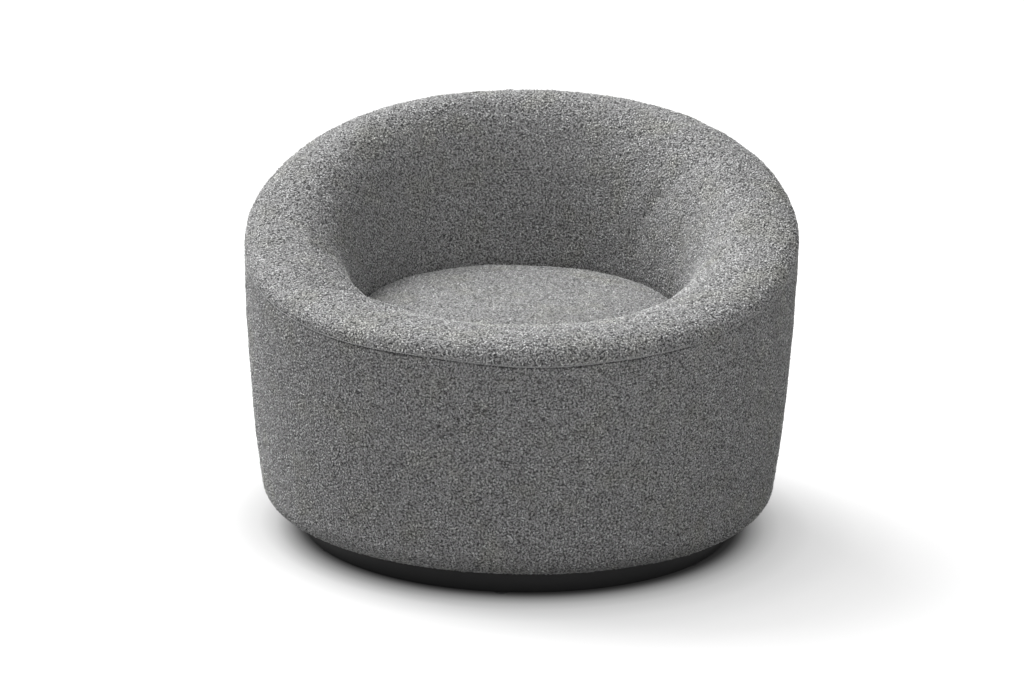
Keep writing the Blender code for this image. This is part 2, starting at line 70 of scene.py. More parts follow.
def add_node(tree, kind, inputs=None, stops=None, **settings):
    """Adds a node with its settings. Inputs are values or outputs to link, and stops fill a colour ramp."""
    node = tree.nodes.new(kind)
    for name, value in settings.items():
        setattr(node, name, value)
    for name, value in (inputs or {}).items():
        if isinstance(value, bpy.types.NodeSocket):
            tree.links.new(value, node.inputs[name])
        else:
            node.inputs[name].default_value = value
    if stops:
        ramp = node.color_ramp.elements
        while len(ramp) < len(stops):
            ramp.new(1.0)
        for element, (place, colour) in zip(ramp, stops):
            element.position = place
            element.color = linear(colour)
    return node


def new_material(name, roughness, metallic=0.0):
    """A material with one Principled shader, its tree and that shader."""
    made = bpy.data.materials.new(name)
    made.use_nodes = True
    shader = made.node_tree.nodes["Principled BSDF"]
    shader.inputs["Roughness"].default_value = roughness
    shader.inputs["Metallic"].default_value = metallic
    return made, made.node_tree, shader


def surface_place(tree, stretch=(1.0, 1.0, 1.0)):
    """Object coordinates in metres, stretched along each axis."""
    source = add_node(tree, "ShaderNodeTexCoord")
    return add_node(tree, "ShaderNodeMapping", {"Vector": source.outputs["Object"],
                                                "Scale": stretch}).outputs[0]


def add_bump(tree, shader, height, distance):
    """Relief of so many metres, from a height between 0 and 1."""
    bump = add_node(tree, "ShaderNodeBump", {"Height": height, "Distance": distance})
    tree.links.new(bump.outputs["Normal"], shader.inputs["Normal"])


def mix_colours(tree, share, first, second, blend="MIX"):
    """The colour between two, by a share that is a number or an output."""
    return add_node(tree, "ShaderNodeMix", {0: share, 6: first, 7: second}, data_type="RGBA",
                    blend_type=blend).outputs[2]


def maths(tree, operation, first, second=0.0):
    """One step of arithmetic on numbers or outputs."""
    return add_node(tree, "ShaderNodeMath", {0: first, 1: second}, operation=operation).outputs[0]


print("a mid grey card in linear light:", [round(x, 3) for x in linear("#808080")])

# %% [markdown]
# The upholstery has the form of a drum with a slanted, rolled rim. In any one direction round the swivel
# axis its skin is a section of radius and height: a turned-under hem, a rounded bottom edge, a tapered
# wall, a seam, and a roll over the rim and down beside the cushion. The frame was built from these same
# sizes, so the dense skins made here lie on its coarse ones.

# %% Sizes of the upholstered form
overall_width = 1.000
underside_height = 0.049                     # of the cover's turned-under edge
rim_heights = (0.487, 0.594, 0.733)          # front, sides, back
seam_drops = (0.0425, 0.042, 0.055)          # front, sides, back
seam_wander = {-17: 0.004, 9: -0.004}        # the hand-sewn seam rises and falls a little at these degrees
seam_wander_width = 12                       # degrees
rim_sweep = 0.0076                           # lowers the rim in front of the sides, lifts it behind them
seam_band = 0.005                            # an upright strip over the seam, before the roll begins
rim_shoulder = 0.076                         # from the outside in to the rim's highest line
arm_thickness = 0.202                        # from the outside in to the cushion
widest_height = 0.500
wall_taper = 0.036                           # the wall's radius is smaller by this at the bottom
wall_bulge = 0.0066                          # and barrelled by this halfway up
bottom_edge_radius = 0.052
cover_turn_under = 0.040                     # the strip of cloth under the bottom edge
roll_power = 2.2                             # of the rim's curve: 2 is a round one, and more is squarer
cover_thickness = 0.0025
side_gap = 0.003                             # between the cushion and the tub
cushion_bottom = 0.2992
cushion_edge_thickness = 0.126
cushion_top_edge = 0.022                     # radius of the cushion's upper edge
cushion_bottom_edge = 0.012
tub_foot = 0.2883                            # the tub's cover ends here, a little under the cushion

outer_radius = overall_width / 2
crest_radius = outer_radius - rim_shoulder
tub_radius = outer_radius - arm_thickness + side_gap
cushion_radius = tub_radius - side_gap
tub_straight_top = cushion_bottom + cushion_edge_thickness - cushion_top_edge
edge_height = underside_height + bottom_edge_radius


def wall_radius(height):
    """Radius of the drum's wall: tapered towards the floor and a little barrelled."""
    share = np.clip((height - underside_height) / (widest_height - underside_height), 0, 1)
    return outer_radius - wall_taper * (1 - share) + wall_bulge * 4 * share * (1 - share)


def round_the_rim(direction, sizes):
    """A size with one value at the front, one at both sides and one at the back."""
    front, side, back = sizes
    mean = (front + back) / 2
    return (mean + side) / 2 + (front - back) / 2 * cos(direction) + (mean - side) / 2 * cos(2 * direction)


def crest_height(direction):
    """Height of the rim's highest line."""
    return round_the_rim(direction, rim_heights) + rim_sweep * (cos(3 * direction) - cos(direction))


def seam_height(direction):
    """Height of the seam between the drum's cover and the tub's."""
    degrees = np.degrees((direction + pi) % tau - pi)
    wander = sum(rise * np.exp(-(((degrees - place) / seam_wander_width) ** 2))
                 for place, rise in seam_wander.items())
    return crest_height(direction) - round_the_rim(direction, seam_drops) + wander


def quarter(start, end, steps, rises):
    """Points of a rounded quarter turn from start to end, upright first if it rises."""
    angle = np.linspace(0, pi / 2, steps + 1)
    along = np.sin(angle) ** (2 / roll_power)
    across = 1 - np.cos(angle) ** (2 / roll_power)
    if not rises:
        along, across = across, along
    radius = start[0] + (end[0] - start[0]) * across
    height = start[1] + (end[1] - start[1]) * along
    return np.stack([radius, height], axis=1)


edge_centre_radius = wall_radius(edge_height) - bottom_edge_radius
turned_under_radius = edge_centre_radius - cover_turn_under
print("seam height at the front and the back:", round(seam_height(0), 4), round(seam_height(pi), 4))

# %% [markdown]
# A cloth skin could be a few profile points under a subdivision surface, but the seam, the hem and the
# creases each need detail where they lie. So a skin is a grid: one section in each of many directions,
# resampled to even rows, with a band of finer rows beside the seam. The grid then moves along its own
# normals for lumps, hems and creases, and closes round an inner wall, so that the cloth has its real
# thickness.

# %% Grid helpers
columns = 480
turns = np.arange(columns) * tau / columns
fine_step = 0.00125          # between the rows beside the seam
fine_rows = 16


def resample(section, rows, fine_start=0, fine_end=0):
    """The same line with evenly spaced points, and with some finer steps at either end."""
    steps = np.hypot(*np.diff(section, axis=0).T)
    length = np.concatenate([[0], np.cumsum(steps)])
    first = fine_start * fine_step
    last = length[-1] - fine_end * fine_step
    wanted = np.concatenate([np.arange(fine_start) * fine_step,
                             np.linspace(first, last, rows - fine_start - fine_end),
                             last + np.arange(1, fine_end + 1) * fine_step])
    return np.stack([np.interp(wanted, length, section[:, k]) for k in (0, 1)], axis=1)


def round_points(radius, height, directions):
    """Points in space from radii and heights, with the directions along the last axis."""
    return np.stack([radius * np.sin(directions), -radius * np.cos(directions), height], axis=-1)


def swept(section_in, rows, directions=turns, **fine):
    """Grid of points, rows by directions, of a section that changes round the chair."""
    sections = [resample(section_in(direction), rows, **fine) for direction in directions]
    radius, height = np.stack(sections, axis=1).transpose(2, 0, 1)
    return round_points(radius, height, directions)


def grid_normals(grid):
    """Outward normals of a grid that closes round the chair and runs up the outside."""
    round_it = np.roll(grid, -1, axis=1) - np.roll(grid, 1, axis=1)
    up_it = np.gradient(grid, axis=0)
    normal = np.cross(round_it, up_it)
    return normal / np.maximum(np.linalg.norm(normal, axis=2, keepdims=True), 1e-12)


def length_along(grid):
    """Length along each column of a grid, from its first row."""
    steps = np.linalg.norm(np.diff(grid, axis=0), axis=2)
    return np.concatenate([np.zeros((1, grid.shape[1])), np.cumsum(steps, axis=0)])


print("directions round the chair:", columns, "with", fine_rows, "fine rows beside the seam")

# %% [markdown]
# Boucle is woven with a looped yarn. From a step away it is a mid grey field of small light curls with dark
# pits between them, where the ground weave lies in shadow. Two finishes share the work. The ground cloth
# has its pits and fine relief from cell and noise textures at the yarn's real scale, and its colour darkens
# in the pits and towards the edge of each curl: painted shade. Beside the seam it is painted lighter on the
# fold, a painted highlight, and darker under it, a painted shade. The curls that stand on it are real
# geometry, made later, and each takes its own grey from an attribute, lighter on the rim's roll as a painted
# highlight.

# %% Boucle finishes
pit_spacing = 0.0062         # between dark pits
pit_size = 0.25              # radius of a pit, in pit spacings
open_pits = 0.07             # how much larger the pits, with their painted shade, are where the cloth is stretched open
pit_flatness = 1.5           # pits are wider than they are high
pit_wander = 0.8             # how far pits leave their even pattern, in pit spacings
curl_width = 0.0030          # of one curl seen from above
fibre_grain = 0.0011         # single fibres, drawn about ten times as coarse as they are so that they show
patch_size = 0.07            # of the faint warm patches


def matt_yarn(tree, shader, grey):
    """Wool-blend yarn scatters light softly. A faint warm cast comes and goes over the cloth."""
    patch = add_node(tree, "ShaderNodeTexNoise", {"Vector": surface_place(tree), "Scale": 1 / patch_size})
    cast = add_node(tree, "ShaderNodeValToRGB", {"Fac": patch.outputs["Fac"]},
                    stops=[(0.5, "#ffffff"), (0.75, "#fefef8")])
    colour = mix_colours(tree, 1.0, grey, cast.outputs["Color"], "MULTIPLY")
    tree.links.new(colour, shader.inputs["Base Color"])
    shader.inputs["Specular IOR Level"].default_value = 0.1


def pit_distance(tree, place):
    """How far a place lies from the nearest pit, in pit spacings, for a shader or a geometry tree."""
    wander = add_node(tree, "ShaderNodeTexNoise", {"Vector": place, "Scale": 1 / pit_spacing, "Detail": 1.0})
    shift = add_node(tree, "ShaderNodeVectorMath",
                     {0: wander.outputs["Color"], "Scale": pit_wander * pit_spacing}, operation="SCALE")
    bent = add_node(tree, "ShaderNodeVectorMath", {0: place, 1: shift.outputs[0]}, operation="ADD")
    flat = add_node(tree, "ShaderNodeVectorMath", {0: bent.outputs[0], 1: (1.0, 1.0, pit_flatness)},
                    operation="MULTIPLY")
    cells = add_node(tree, "ShaderNodeTexVoronoi", {"Vector": flat.outputs[0], "Scale": 1 / pit_spacing})
    return cells.outputs["Distance"]


def boucle_ground():
    """Ground weave of a wool-blend boucle: rough and dull, with painted shade in dark pits between its curls,
    and a painted highlight and shade beside the seam.
    """
    made, tree, shader = new_material("boucle_ground_weave", 0.95)
    place = surface_place(tree)
    curls = add_node(tree, "ShaderNodeTexVoronoi", {"Vector": place, "Scale": 1 / curl_width})
    fibres = add_node(tree, "ShaderNodeTexNoise", {"Vector": place, "Scale": 1 / fibre_grain, "Detail": 2.0})
    opened = add_node(tree, "ShaderNodeAttribute", attribute_name="opened").outputs["Fac"]
    from_edge = maths(tree, "SUBTRACT", pit_distance(tree, place), maths(tree, "MULTIPLY", opened, open_pits))
    pit = add_node(tree, "ShaderNodeMapRange", {"Value": from_edge, "From Min": 0.7 * pit_size,
                                                "From Max": 1.2 * pit_size}).outputs[0]
    crown = add_node(tree, "ShaderNodeMapRange", {"Value": curls.outputs["Distance"], "From Min": 0.1,
                                                  "From Max": 0.75, "To Min": 1.0, "To Max": 0.0}).outputs[0]
    # The grey darkens towards the edge of each curl: painted shade between the loops.
    tone = maths(tree, "MULTIPLY", maths(tree, "ADD", crown, fibres.outputs["Fac"]), 0.6)
    grey = add_node(tree, "ShaderNodeValToRGB", {"Fac": tone},
                    stops=[(0.25, "#4c4c4c"), (0.55, "#828282"), (0.8, "#acacac")])
    # Pits take a near-black colour: painted shade where the ground weave lies deep.
    woven = mix_colours(tree, pit, linear("#343435"), grey.outputs["Color"])
    # Beside the seam the cloth is painted lighter on the fold, a painted highlight, and darker under it, a
    # painted shade.
    edge = add_node(tree, "ShaderNodeAttribute", attribute_name="seam_tone").outputs["Fac"]
    raised = maths(tree, "MAXIMUM", edge, 0.0)
    sunk = maths(tree, "MAXIMUM", maths(tree, "MULTIPLY", edge, -1.0), 0.0)
    with_fold_highlight = mix_colours(tree, raised, woven, linear("#b2b2b2"))
    matt_yarn(tree, shader, mix_colours(tree, sunk, with_fold_highlight, linear("#2c2c2d")))
    add_bump(tree, shader, maths(tree, "MULTIPLY", tone, pit), 0.0014)
    return made


def boucle_curls():
    """The looped yarn itself: each curl has one of several greys, as slubs of unlike fibres give, and curls
    on the rim's roll are lighter as a painted highlight.
    """
    made, tree, shader = new_material("boucle_looped_yarn", 0.9)
    shade = add_node(tree, "ShaderNodeAttribute", attribute_name="curl_shade")
    grey = add_node(tree, "ShaderNodeValToRGB", {"Fac": shade.outputs["Fac"]},
                    stops=[(0.0, "#888888"), (0.3, "#a6a6a6"), (0.8, "#b8b8b8"), (1.0, "#d2d2d2")])
    fibres = add_node(tree, "ShaderNodeTexNoise", {"Vector": surface_place(tree), "Scale": 1 / fibre_grain})
    matt_yarn(tree, shader, grey.outputs["Color"])
    add_bump(tree, shader, fibres.outputs["Fac"], 0.0005)
    return made


ground_cloth = boucle_ground()
looped_yarn = boucle_curls()
print("boucle finishes:", ground_cloth.name, "and", looped_yarn.name)

# %% [markdown]
# Cloth stretched by hand over foam is never true. Slow swells and small lumps move it by a millimetre or
# so. Where the arms turn into the back the cloth has to give, so it falls into a soft crease on either
# side, and where the left arm turns into the front it folds. Beside the seam the folded edge of the tub's
# cover stands proud over a dip, and this fold is clearest near the front. All of it is one function of
# place, so that covers, curls and foam share the same uneven skin.

# %% Unevenness of the stretched cloth
curl_room = 0.0014           # the ground cloth lies this far inside the form, and its curls pass it
hem_room = 0.0010            # more of it round the bottom edge, where the curls hang down
hem_ease = 0.02              # in this last share of that edge the cloth comes to lie flat on the board
slow_swell, slow_size = 0.0011, 0.15         # height and width
lump, lump_size = 0.0007, 0.040
pucker, pucker_size = 0.0007, 0.011
tub_swell = 1.0              # the thick foam of the rim lets the cloth wander about twice as far
crease_depth = 0.0034
crease_width = 0.021
crease_bulge = 0.0020                        # of the cloth in front of a crease
crease_heights = (0.40, 0.46, 0.53, 0.60, 0.66, 0.71)
crease_turns = (139, 139, 138, 129, 121, 116)    # degrees from the front at those heights
crease_strengths = (0.2, 1.0, 1.0, 0.8, 0.45, 0.0)
fold_proud = 0.0030          # of the rolled edge beside the seam, at the front
fold_width = 0.0027
fold_fade = 0.30             # what is left of it at the sides and the back
fold_turn = 0.35             # it is clearest this far right of the front, in radians
fold_patch, fold_knot = 0.045, 0.009         # lengths over which the fold comes and goes
seam_dip = 0.0045
seam_dip_width = 0.0045
swell_reach = 0.05           # the tub's looser cloth begins over this length above the seam
free_above, free_below = 2, 3                # rows beside the seam with no curls
painted_seam_shade = 0.7             # painted shade: how dark the rows under the fold are painted
arm_valley = 0.011           # depth of the fold where the left arm turns into the front
arm_valley_width = 0.015
arm_valley_edge = (0.455, 0.41)              # it deepens inwards between these radii
arm_roll = 0.0055            # the front's roll is fuller in front of it
arm_roll_edge = (0.455, 0.42)
arm_roll_lead, arm_roll_spread = 1.4, 2      # its place before the fold and its width, in valley widths
arm_fold_place = -0.283      # it runs across the chair this far towards the front
arm_fold_outer_end = (-0.375, -0.325)        # it fades in and out between these places across
arm_fold_inner_end = (-0.15, -0.22)
arm_fold_foot = (0.425, 0.465)               # and fades in between these heights


def uneven(points, size, seed):
    """Smooth noise from about -1 to 1 whose bumps are about as wide as size."""
    flat = points.reshape(-1, 3) / size + seed
    values = [noise.noise(point) for point in flat.tolist()]
    return np.array(values).reshape(points.shape[:-1])


def lumps(points):
    """How far the stretched cloth lies above or below its true form."""
    return (slow_swell * uneven(points, slow_size, 3.7) + lump * uneven(points, lump_size, 11.3)
            + pucker * uneven(points, pucker_size, 23.1))


def creases(points):
    """Depth of the two creases inside the tub, with the fuller cloth in front of them."""
    radius, height = np.hypot(points[..., 0], points[..., 1]), points[..., 2]
    turn = np.abs(np.degrees(np.arctan2(points[..., 0], -points[..., 1])))
    across = np.radians(turn - np.interp(height, crease_heights, crease_turns)) * radius
    strength = np.interp(height, crease_heights, crease_strengths) * (radius < crest_radius)
    groove = np.exp(-((across / crease_width) ** 2))
    fullness = np.exp(-(((across + 3 * crease_width) / (2 * crease_width)) ** 2))
    return strength * (crease_bulge * fullness - crease_depth * groove)


def ramp(values, start, end):
    """Rises smoothly from 0 at start to 1 at end."""
    share = np.clip((values - start) / (end - start), 0, 1)
    return share * share * (3 - 2 * share)


def arm_fold(points):
    """The soft fold of the left arm: a valley, steep towards the front, with a fuller roll before it."""
    radius = np.hypot(points[..., 0], points[..., 1])
    behind = (points[..., 1] - arm_fold_place) / arm_valley_width
    valley = np.maximum(behind, 0) * np.exp(1 - np.maximum(behind, 0))
    roll = np.exp(-(((behind + arm_roll_lead) / arm_roll_spread) ** 2))
    ends = ramp(points[..., 0], *arm_fold_outer_end) * ramp(points[..., 0], *arm_fold_inner_end)
    height_share = ramp(points[..., 2], *arm_fold_foot)
    raised = arm_roll * roll * ramp(radius, *arm_roll_edge)
    sunk = arm_valley * valley * ramp(radius, *arm_valley_edge)
    return (raised - sunk) * ends * height_share


def seam_clearness(points):
    """The fold is clearest at the front, where the cover is pulled down hardest, and fades to the back."""
    turn = np.arctan2(points[..., 0], -points[..., 1])
    patchy = 0.7 + 0.6 * uneven(points, fold_patch, 31.7) + 0.9 * uneven(points, fold_knot, 37.9)
    near_front = np.clip(np.cos(turn - fold_turn), 0, 1) ** 3
    return np.clip((fold_fade + (1 - fold_fade) * near_front) * patchy, 0, 1.1)


def cloth_offset(points, above_seam):
    """Distance of the ground cloth off the true form. Below the seam its distance from it is negative."""
    clear = seam_clearness(points)
    fold = fold_proud * clear * np.exp(-(((above_seam - 0.8 * fold_width) / fold_width) ** 2))
    dip = seam_dip * (0.4 + 0.6 * clear) * np.exp(-((above_seam / seam_dip_width) ** 2))
    over_board = (edge_height - points[..., 2]) / bottom_edge_radius
    room = curl_room + hem_room * np.clip(over_board, 0, 1)
    free = np.clip((1 - over_board) / hem_ease, 0, 1)
    looseness = 1 + tub_swell * np.clip(above_seam / swell_reach, 0, 1)
    return ((lumps(points) * looseness + creases(points) + arm_fold(points) - room) * free
            + np.where(above_seam >= 0, fold - 0.25 * dip, -dip))


front_crest = round_points(crest_radius, crest_height(0), 0.0)
print("lumps at the front's crest:", round(1000 * float(lumps(front_crest)), 2), "mm")

# %% [markdown]
# A grid becomes a mesh when its neighbours are joined into quads. A skin and its inner wall close on
# themselves and round the chair, so such a piece is a closed ring, and its UV map is that ring unrolled. A
# finished piece rides on one body of the frame and hides the solids that it stands for.


# %% Meshes from grids
def mesh_object(name, points, faces, material):
    """A smooth mesh object from points and faces, linked to the scene."""
    mesh = bpy.data.meshes.new(name)
    mesh.from_pydata(np.asarray(points).tolist(), [], faces)
    mesh.materials.append(material)
    mesh.shade_smooth()
    made = bpy.data.objects.new(name, mesh)
    bpy.context.scene.collection.objects.link(made)
    return made


def grid_faces(rows, across, close_rows=False, close_across=True):
    """Quads of a grid, as indices into its points taken row by row."""
    row = np.arange(rows if close_rows else rows - 1)
    column = np.arange(across if close_across else across - 1)
    row, column = (x.ravel() for x in np.meshgrid(row, column, indexing="ij"))
    next_row, next_column = (row + 1) % rows, (column + 1) % across
    corners = [(row, column), (row, next_column), (next_row, next_column), (next_row, column)]
    return np.stack([r * across + c for r, c in corners], axis=1)


def closed_ring(name, grid, material):
    """A body whose section closes on itself and which closes round the chair, unrolled in its UV map."""
    rows, across = grid.shape[:2]
    quads = grid_faces(rows, across, close_rows=True).tolist()
    made = mesh_object(name, grid.reshape(-1, 3), quads, material)
    row, column = (x.ravel() for x in np.meshgrid(np.arange(rows), np.arange(across), indexing="ij"))
    u = (column[:, None] + np.array([0, 1, 1, 0])) / across
    v = (row[:, None] + np.array([0, 0, 1, 1])) / rows
    layer = made.data.uv_layers.new(name="OFBake")
    layer.uv.foreach_set("vector", np.stack([u, v], axis=2).astype(np.float32).ravel())
    print(name, "has", 2 * len(made.data.polygons), "triangles")
    return made


def dress(made, body, slot, *replaced, fill=None):
    """The piece rides on a body and hides the CAD nodes that it stands for. Its slot and fill are not used.
    """
    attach(made, body)
    if replaced:
        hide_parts(*replaced)
    return made


print("a ring of 4 rows and 6 columns has", len(grid_faces(4, 6, close_rows=True)), "quads")

# %% [markdown]
# The drum's cover is one band of cloth, pulled over a thin foam on a hardboard wall. It is turned under at
# the bottom and meets the tub's cover at the seam, where it dips in a little under the folded edge above
# it. Its inner face follows the outer one at the cloth's thickness, on fewer rows.

# %% Drum cover
drum_rows = 112
drum_inner_rows = 24


def drum_section(direction):
    """Skin of the drum from its turned-under hem up to the seam."""
    angle = np.linspace(0, pi / 2, 17)
    edge = np.stack([edge_centre_radius + bottom_edge_radius * np.sin(angle),
                     edge_height - bottom_edge_radius * np.cos(angle)], axis=1)
    heights = np.linspace(edge_height, seam_height(direction), 25)[1:]
    wall = np.stack([wall_radius(heights), heights], axis=1)
    return np.concatenate([[(turned_under_radius, underside_height)], edge, wall])


def cloth_shell(name, skin, normals, inner_rows):
    """Closed cloth: the outer skin's rows, then its inner face on fewer rows back again."""
    picked = np.linspace(0, len(skin) - 1, inner_rows).round().astype(int)
    inner = skin[picked] - normals[picked] * cover_thickness
    return closed_ring(name, np.concatenate([skin, inner[::-1]]), ground_cloth)


def paint(made, attribute, values, first_row=0):
    """Stores one value for each point of a grid mesh. Rows that get no values keep 0."""
    every = np.zeros(len(made.data.vertices), np.float32)
    start = first_row * values.shape[-1]
    every[start:start + values.size] = values.ravel()
    made.data.attributes.new(attribute, "FLOAT", "POINT").data.foreach_set("value", every)


drum_form = swept(drum_section, drum_rows, fine_end=fine_rows)
drum_normals = grid_normals(drum_form)
drum_length = length_along(drum_form)
drum_skin = drum_form + drum_normals * cloth_offset(drum_form, drum_length - drum_length[-1])[:, :, None]
drum_cover = cloth_shell("drum_boucle", drum_skin, drum_normals, drum_inner_rows)
# The rows under the seam are painted dark: painted shade under the fold, strongest where the fold is
# clearest.
shade_under_seam = np.repeat(-painted_seam_shade * seam_clearness(drum_skin[-1:]), free_below + 1, axis=0)
paint(drum_cover, "seam_tone", shade_under_seam, drum_rows - free_below - 1)
dress(drum_cover, "seat_body", "boucle", "drum_cover", fill=0.9)

# %% [markdown]
# The tub's cover starts at the seam with its folded edge, rolls over the thick foam of the rim and runs
# down beside the cushion to its foot on the seat ring.

# %% Tub cover
tub_rows = 128
tub_inner_rows = 34
open_depth = 0.08            # below its crest the roll stretches the cloth open, down to this depth


def tub_section(direction):
    """Skin from the seam over the crest and down to the foot of the tub."""
    seam = seam_height(direction)
    start = (wall_radius(seam), seam)
    band = (start[0], seam + seam_band)
    crest = (crest_radius, crest_height(direction))
    shoulder = (tub_radius, tub_straight_top)
    rise = quarter(band, crest, 24, True)
    fall = quarter(crest, shoulder, 24, False)[1:]
    return np.concatenate([[start], rise, fall, [(tub_radius, tub_foot)]])


tub_form = swept(tub_section, tub_rows, fine_start=fine_rows)
tub_normals = grid_normals(tub_form)
tub_skin = tub_form + tub_normals * cloth_offset(tub_form, length_along(tub_form))[:, :, None]
tub_cover = cloth_shell("tub_boucle", tub_skin, tub_normals, tub_inner_rows)
# The fold's rows are painted light: a painted highlight on the fold, strongest where it is clearest.
paint(tub_cover, "seam_tone", np.repeat(seam_clearness(tub_skin[:1]), free_above, axis=0))
crests = np.array([crest_height(direction) for direction in turns])
tub_opened = np.clip(1 - (crests - tub_form[:, :, 2]) / open_depth, 0, 1)
# The opened share also gives the roll larger pits with painted shade and lighter curls as a painted
# highlight.
paint(tub_cover, "opened", tub_opened)
dress(tub_cover, "seat_body", "boucle", "tub_cover", fill=0.85)

# %% [markdown]
# The seat cushion is a thick foam disc in a tight cover with no piping. A turned profile would look
# machined, so its form is remeshed and blown up a little as cloth with pressure inside. How far a point may
# move is capped, and the cushion stays between the tub's walls. Its underside is hollowed to lie on the
# arched springs.

# %% Seat cushion form
spring_arch = 0.012
dome_radius = 0.250
start_inset = 0.004          # the cloth starts this much smaller, because it swells
start_crown = 0.015          # the pressure domes it to about 0.022
cloth_pressure = 0.5
most_swell = 0.022
side_room = 0.0003           # the cloth stays this far inside the solid's side
voxel = 0.0095
cloth_steps = 20
cushion_swell = 1.6          # its loose cover wanders this much more than the lumps say


def lathed(name, section, steps, material):
    """A closed body turned from a section that starts on the axis at its top and ends on it below."""
    around = np.arange(steps)
    after = (around + 1) % steps
    rings = section[1:-1]
    grid = round_points(rings[:, :1], np.repeat(rings[:, 1:], steps, axis=1), around * tau / steps)
    points = np.concatenate([[[0, 0, section[0, 1]]], grid.reshape(-1, 3), [[0, 0, section[-1, 1]]]])
    faces = (grid_faces(len(rings), steps) + 1)[:, ::-1].tolist()
    faces += np.stack([np.zeros(steps, int), around + 1, after + 1], axis=1).tolist()
    low = 1 + (len(rings) - 1) * steps
    faces += np.stack([np.full(steps, len(points) - 1), after + low, around + low], axis=1).tolist()
    return mesh_object(name, points, faces, material)


def apply_modifiers(made):
    """The object's evaluated form becomes its own plain mesh."""
    graph = bpy.context.evaluated_depsgraph_get()
    mesh = bpy.data.meshes.new_from_object(made.evaluated_get(graph))
    made.modifiers.clear()
    made.data = mesh
    return made


def points_of(made, what="co"):
    """The mesh's points, or with what set to normal their normals, as an array."""
    found = np.empty(len(made.data.vertices) * 3, np.float32)
    made.data.vertices.foreach_get(what, found)
    return found.reshape(-1, 3).astype(float)


def move_points(made, points):
    """Puts the mesh's points in new places."""
    made.data.vertices.foreach_set("co", points.astype(np.float32).ravel())
    made.data.update()


def arched(level, radii):
    """Points of a face that lies on the arched springs."""
    return np.stack([radii, level + spring_arch * np.clip(1 - (radii / dome_radius) ** 2, 0, 1)], axis=1)


def cushion_section(depth):
    """The cushion from the middle of its crown, round its edge and under, moved inwards by a depth."""
    bend = cushion_top_edge - depth
    reach = cushion_radius - cushion_top_edge
    radii = np.linspace(0, reach, 14)
    crown = tub_straight_top + bend + start_crown * (1 - (radii / reach) ** 2)
    angle = np.linspace(0, pi / 2, 9)[1:]
    edge = np.stack([reach + bend * np.sin(angle), tub_straight_top + bend * np.cos(angle)], axis=1)
    side = cushion_radius - depth
    low = cushion_bottom + depth
    heights = np.linspace(tub_straight_top, low + cushion_bottom_edge, 8)[1:]
    wall = np.stack([np.full(len(heights), side), heights], axis=1)
    under = arched(low, np.linspace(side - cushion_bottom_edge, 0, 14))
    return np.concatenate([np.stack([radii, crown], axis=1), edge, wall, under])


def blow_up(made):
    """Simulates the cover as cloth with pressure inside, with its underside held on the springs."""
    start = points_of(made)
    held = made.vertex_groups.new(name="held")
    low = np.nonzero(start[:, 2] < cushion_bottom + start_inset + spring_arch + cushion_bottom_edge)[0]
    held.add(low.tolist(), 1.0, "REPLACE")
    cloth = made.modifiers.new("cloth", "CLOTH")
    cloth.settings.use_pressure = True
    cloth.settings.uniform_pressure_force = cloth_pressure
    cloth.settings.effector_weights.gravity = 0.0
    cloth.settings.vertex_group_mass = "held"
    cloth.point_cache.frame_start, cloth.point_cache.frame_end = 1, cloth_steps
    for step in range(1, cloth_steps + 1):
        bpy.context.scene.frame_set(step)
    apply_modifiers(made)
    bpy.context.scene.frame_set(1)
    moved = points_of(made) - start
    far = np.linalg.norm(moved, axis=1, keepdims=True)
    top = start[:, 2] > tub_straight_top
    print("cushion cloth moved up to", round(far.max() * 1000, 1), "mm and its top by",
          round(far[top].mean() * 1000, 1))
    return start + moved * np.minimum(1, most_swell / np.maximum(far, 1e-9))


cushion = lathed("seat_cushion", cushion_section(start_inset), 96, ground_cloth)
remesh = cushion.modifiers.new("remesh", "REMESH")
remesh.mode = "VOXEL"
remesh.voxel_size = voxel
apply_modifiers(cushion)
swollen = blow_up(cushion)
reach = np.hypot(swollen[:, 0], swollen[:, 1])
swollen[:, :2] *= np.minimum(1, (cushion_radius - side_room) / np.maximum(reach, 1e-9))[:, None]
print("cushion top after the cloth:", round(swollen[:, 2].max(), 4))
move_points(cushion, swollen)
calm = cushion.modifiers.new("calm", "SMOOTH")
calm.iterations = 12
finer = cushion.modifiers.new("finer", "SUBSURF")
finer.levels = finer.render_levels = 1
apply_modifiers(cushion)
cushion_points = points_of(cushion)
top_share = np.clip((cushion_points[:, 2] - tub_straight_top) / cushion_top_edge, 0, 1)
cushion_points += points_of(cushion, "normal") * (cushion_swell * lumps(cushion_points) * top_share)[:, None]
move_points(cushion, cushion_points)
print("cushion has", len(cushion.data.polygons), "faces")

# %% [markdown]
# The cushion's cover is turned under and stapled below, so it is open there and its foam shows from
# underneath. The outer faces are kept down to the turned-under strip and get the cloth's thickness inwards.
# The foam inside is the whole form again, shrunk by a little more than that thickness.

# %% Cushion cover and foam
turn_under = 0.045           # width of the strip that is turned under
foam_depth = 0.0042          # of the foam under the cover's outer face
foam_cell = 0.0016           # an open cell, drawn about three times as coarse as it is so that it shows


def open_cell_foam():
    """Cut upholstery foam: cream, matt, with its open cells as fine pits."""
    made, tree, shader = new_material("polyurethane_foam", 0.9)
    cells = add_node(tree, "ShaderNodeTexVoronoi", {"Vector": surface_place(tree), "Scale": 1 / foam_cell})
    tan = add_node(tree, "ShaderNodeValToRGB", {"Fac": cells.outputs["Distance"]},
                   stops=[(0.0, "#c9b98a"), (0.4, "#e2d6ae"), (1.0, "#efe6c6")])
    tree.links.new(tan.outputs["Color"], shader.inputs["Base Color"])
    add_bump(tree, shader, cells.outputs["Distance"], 0.0006)
    return made


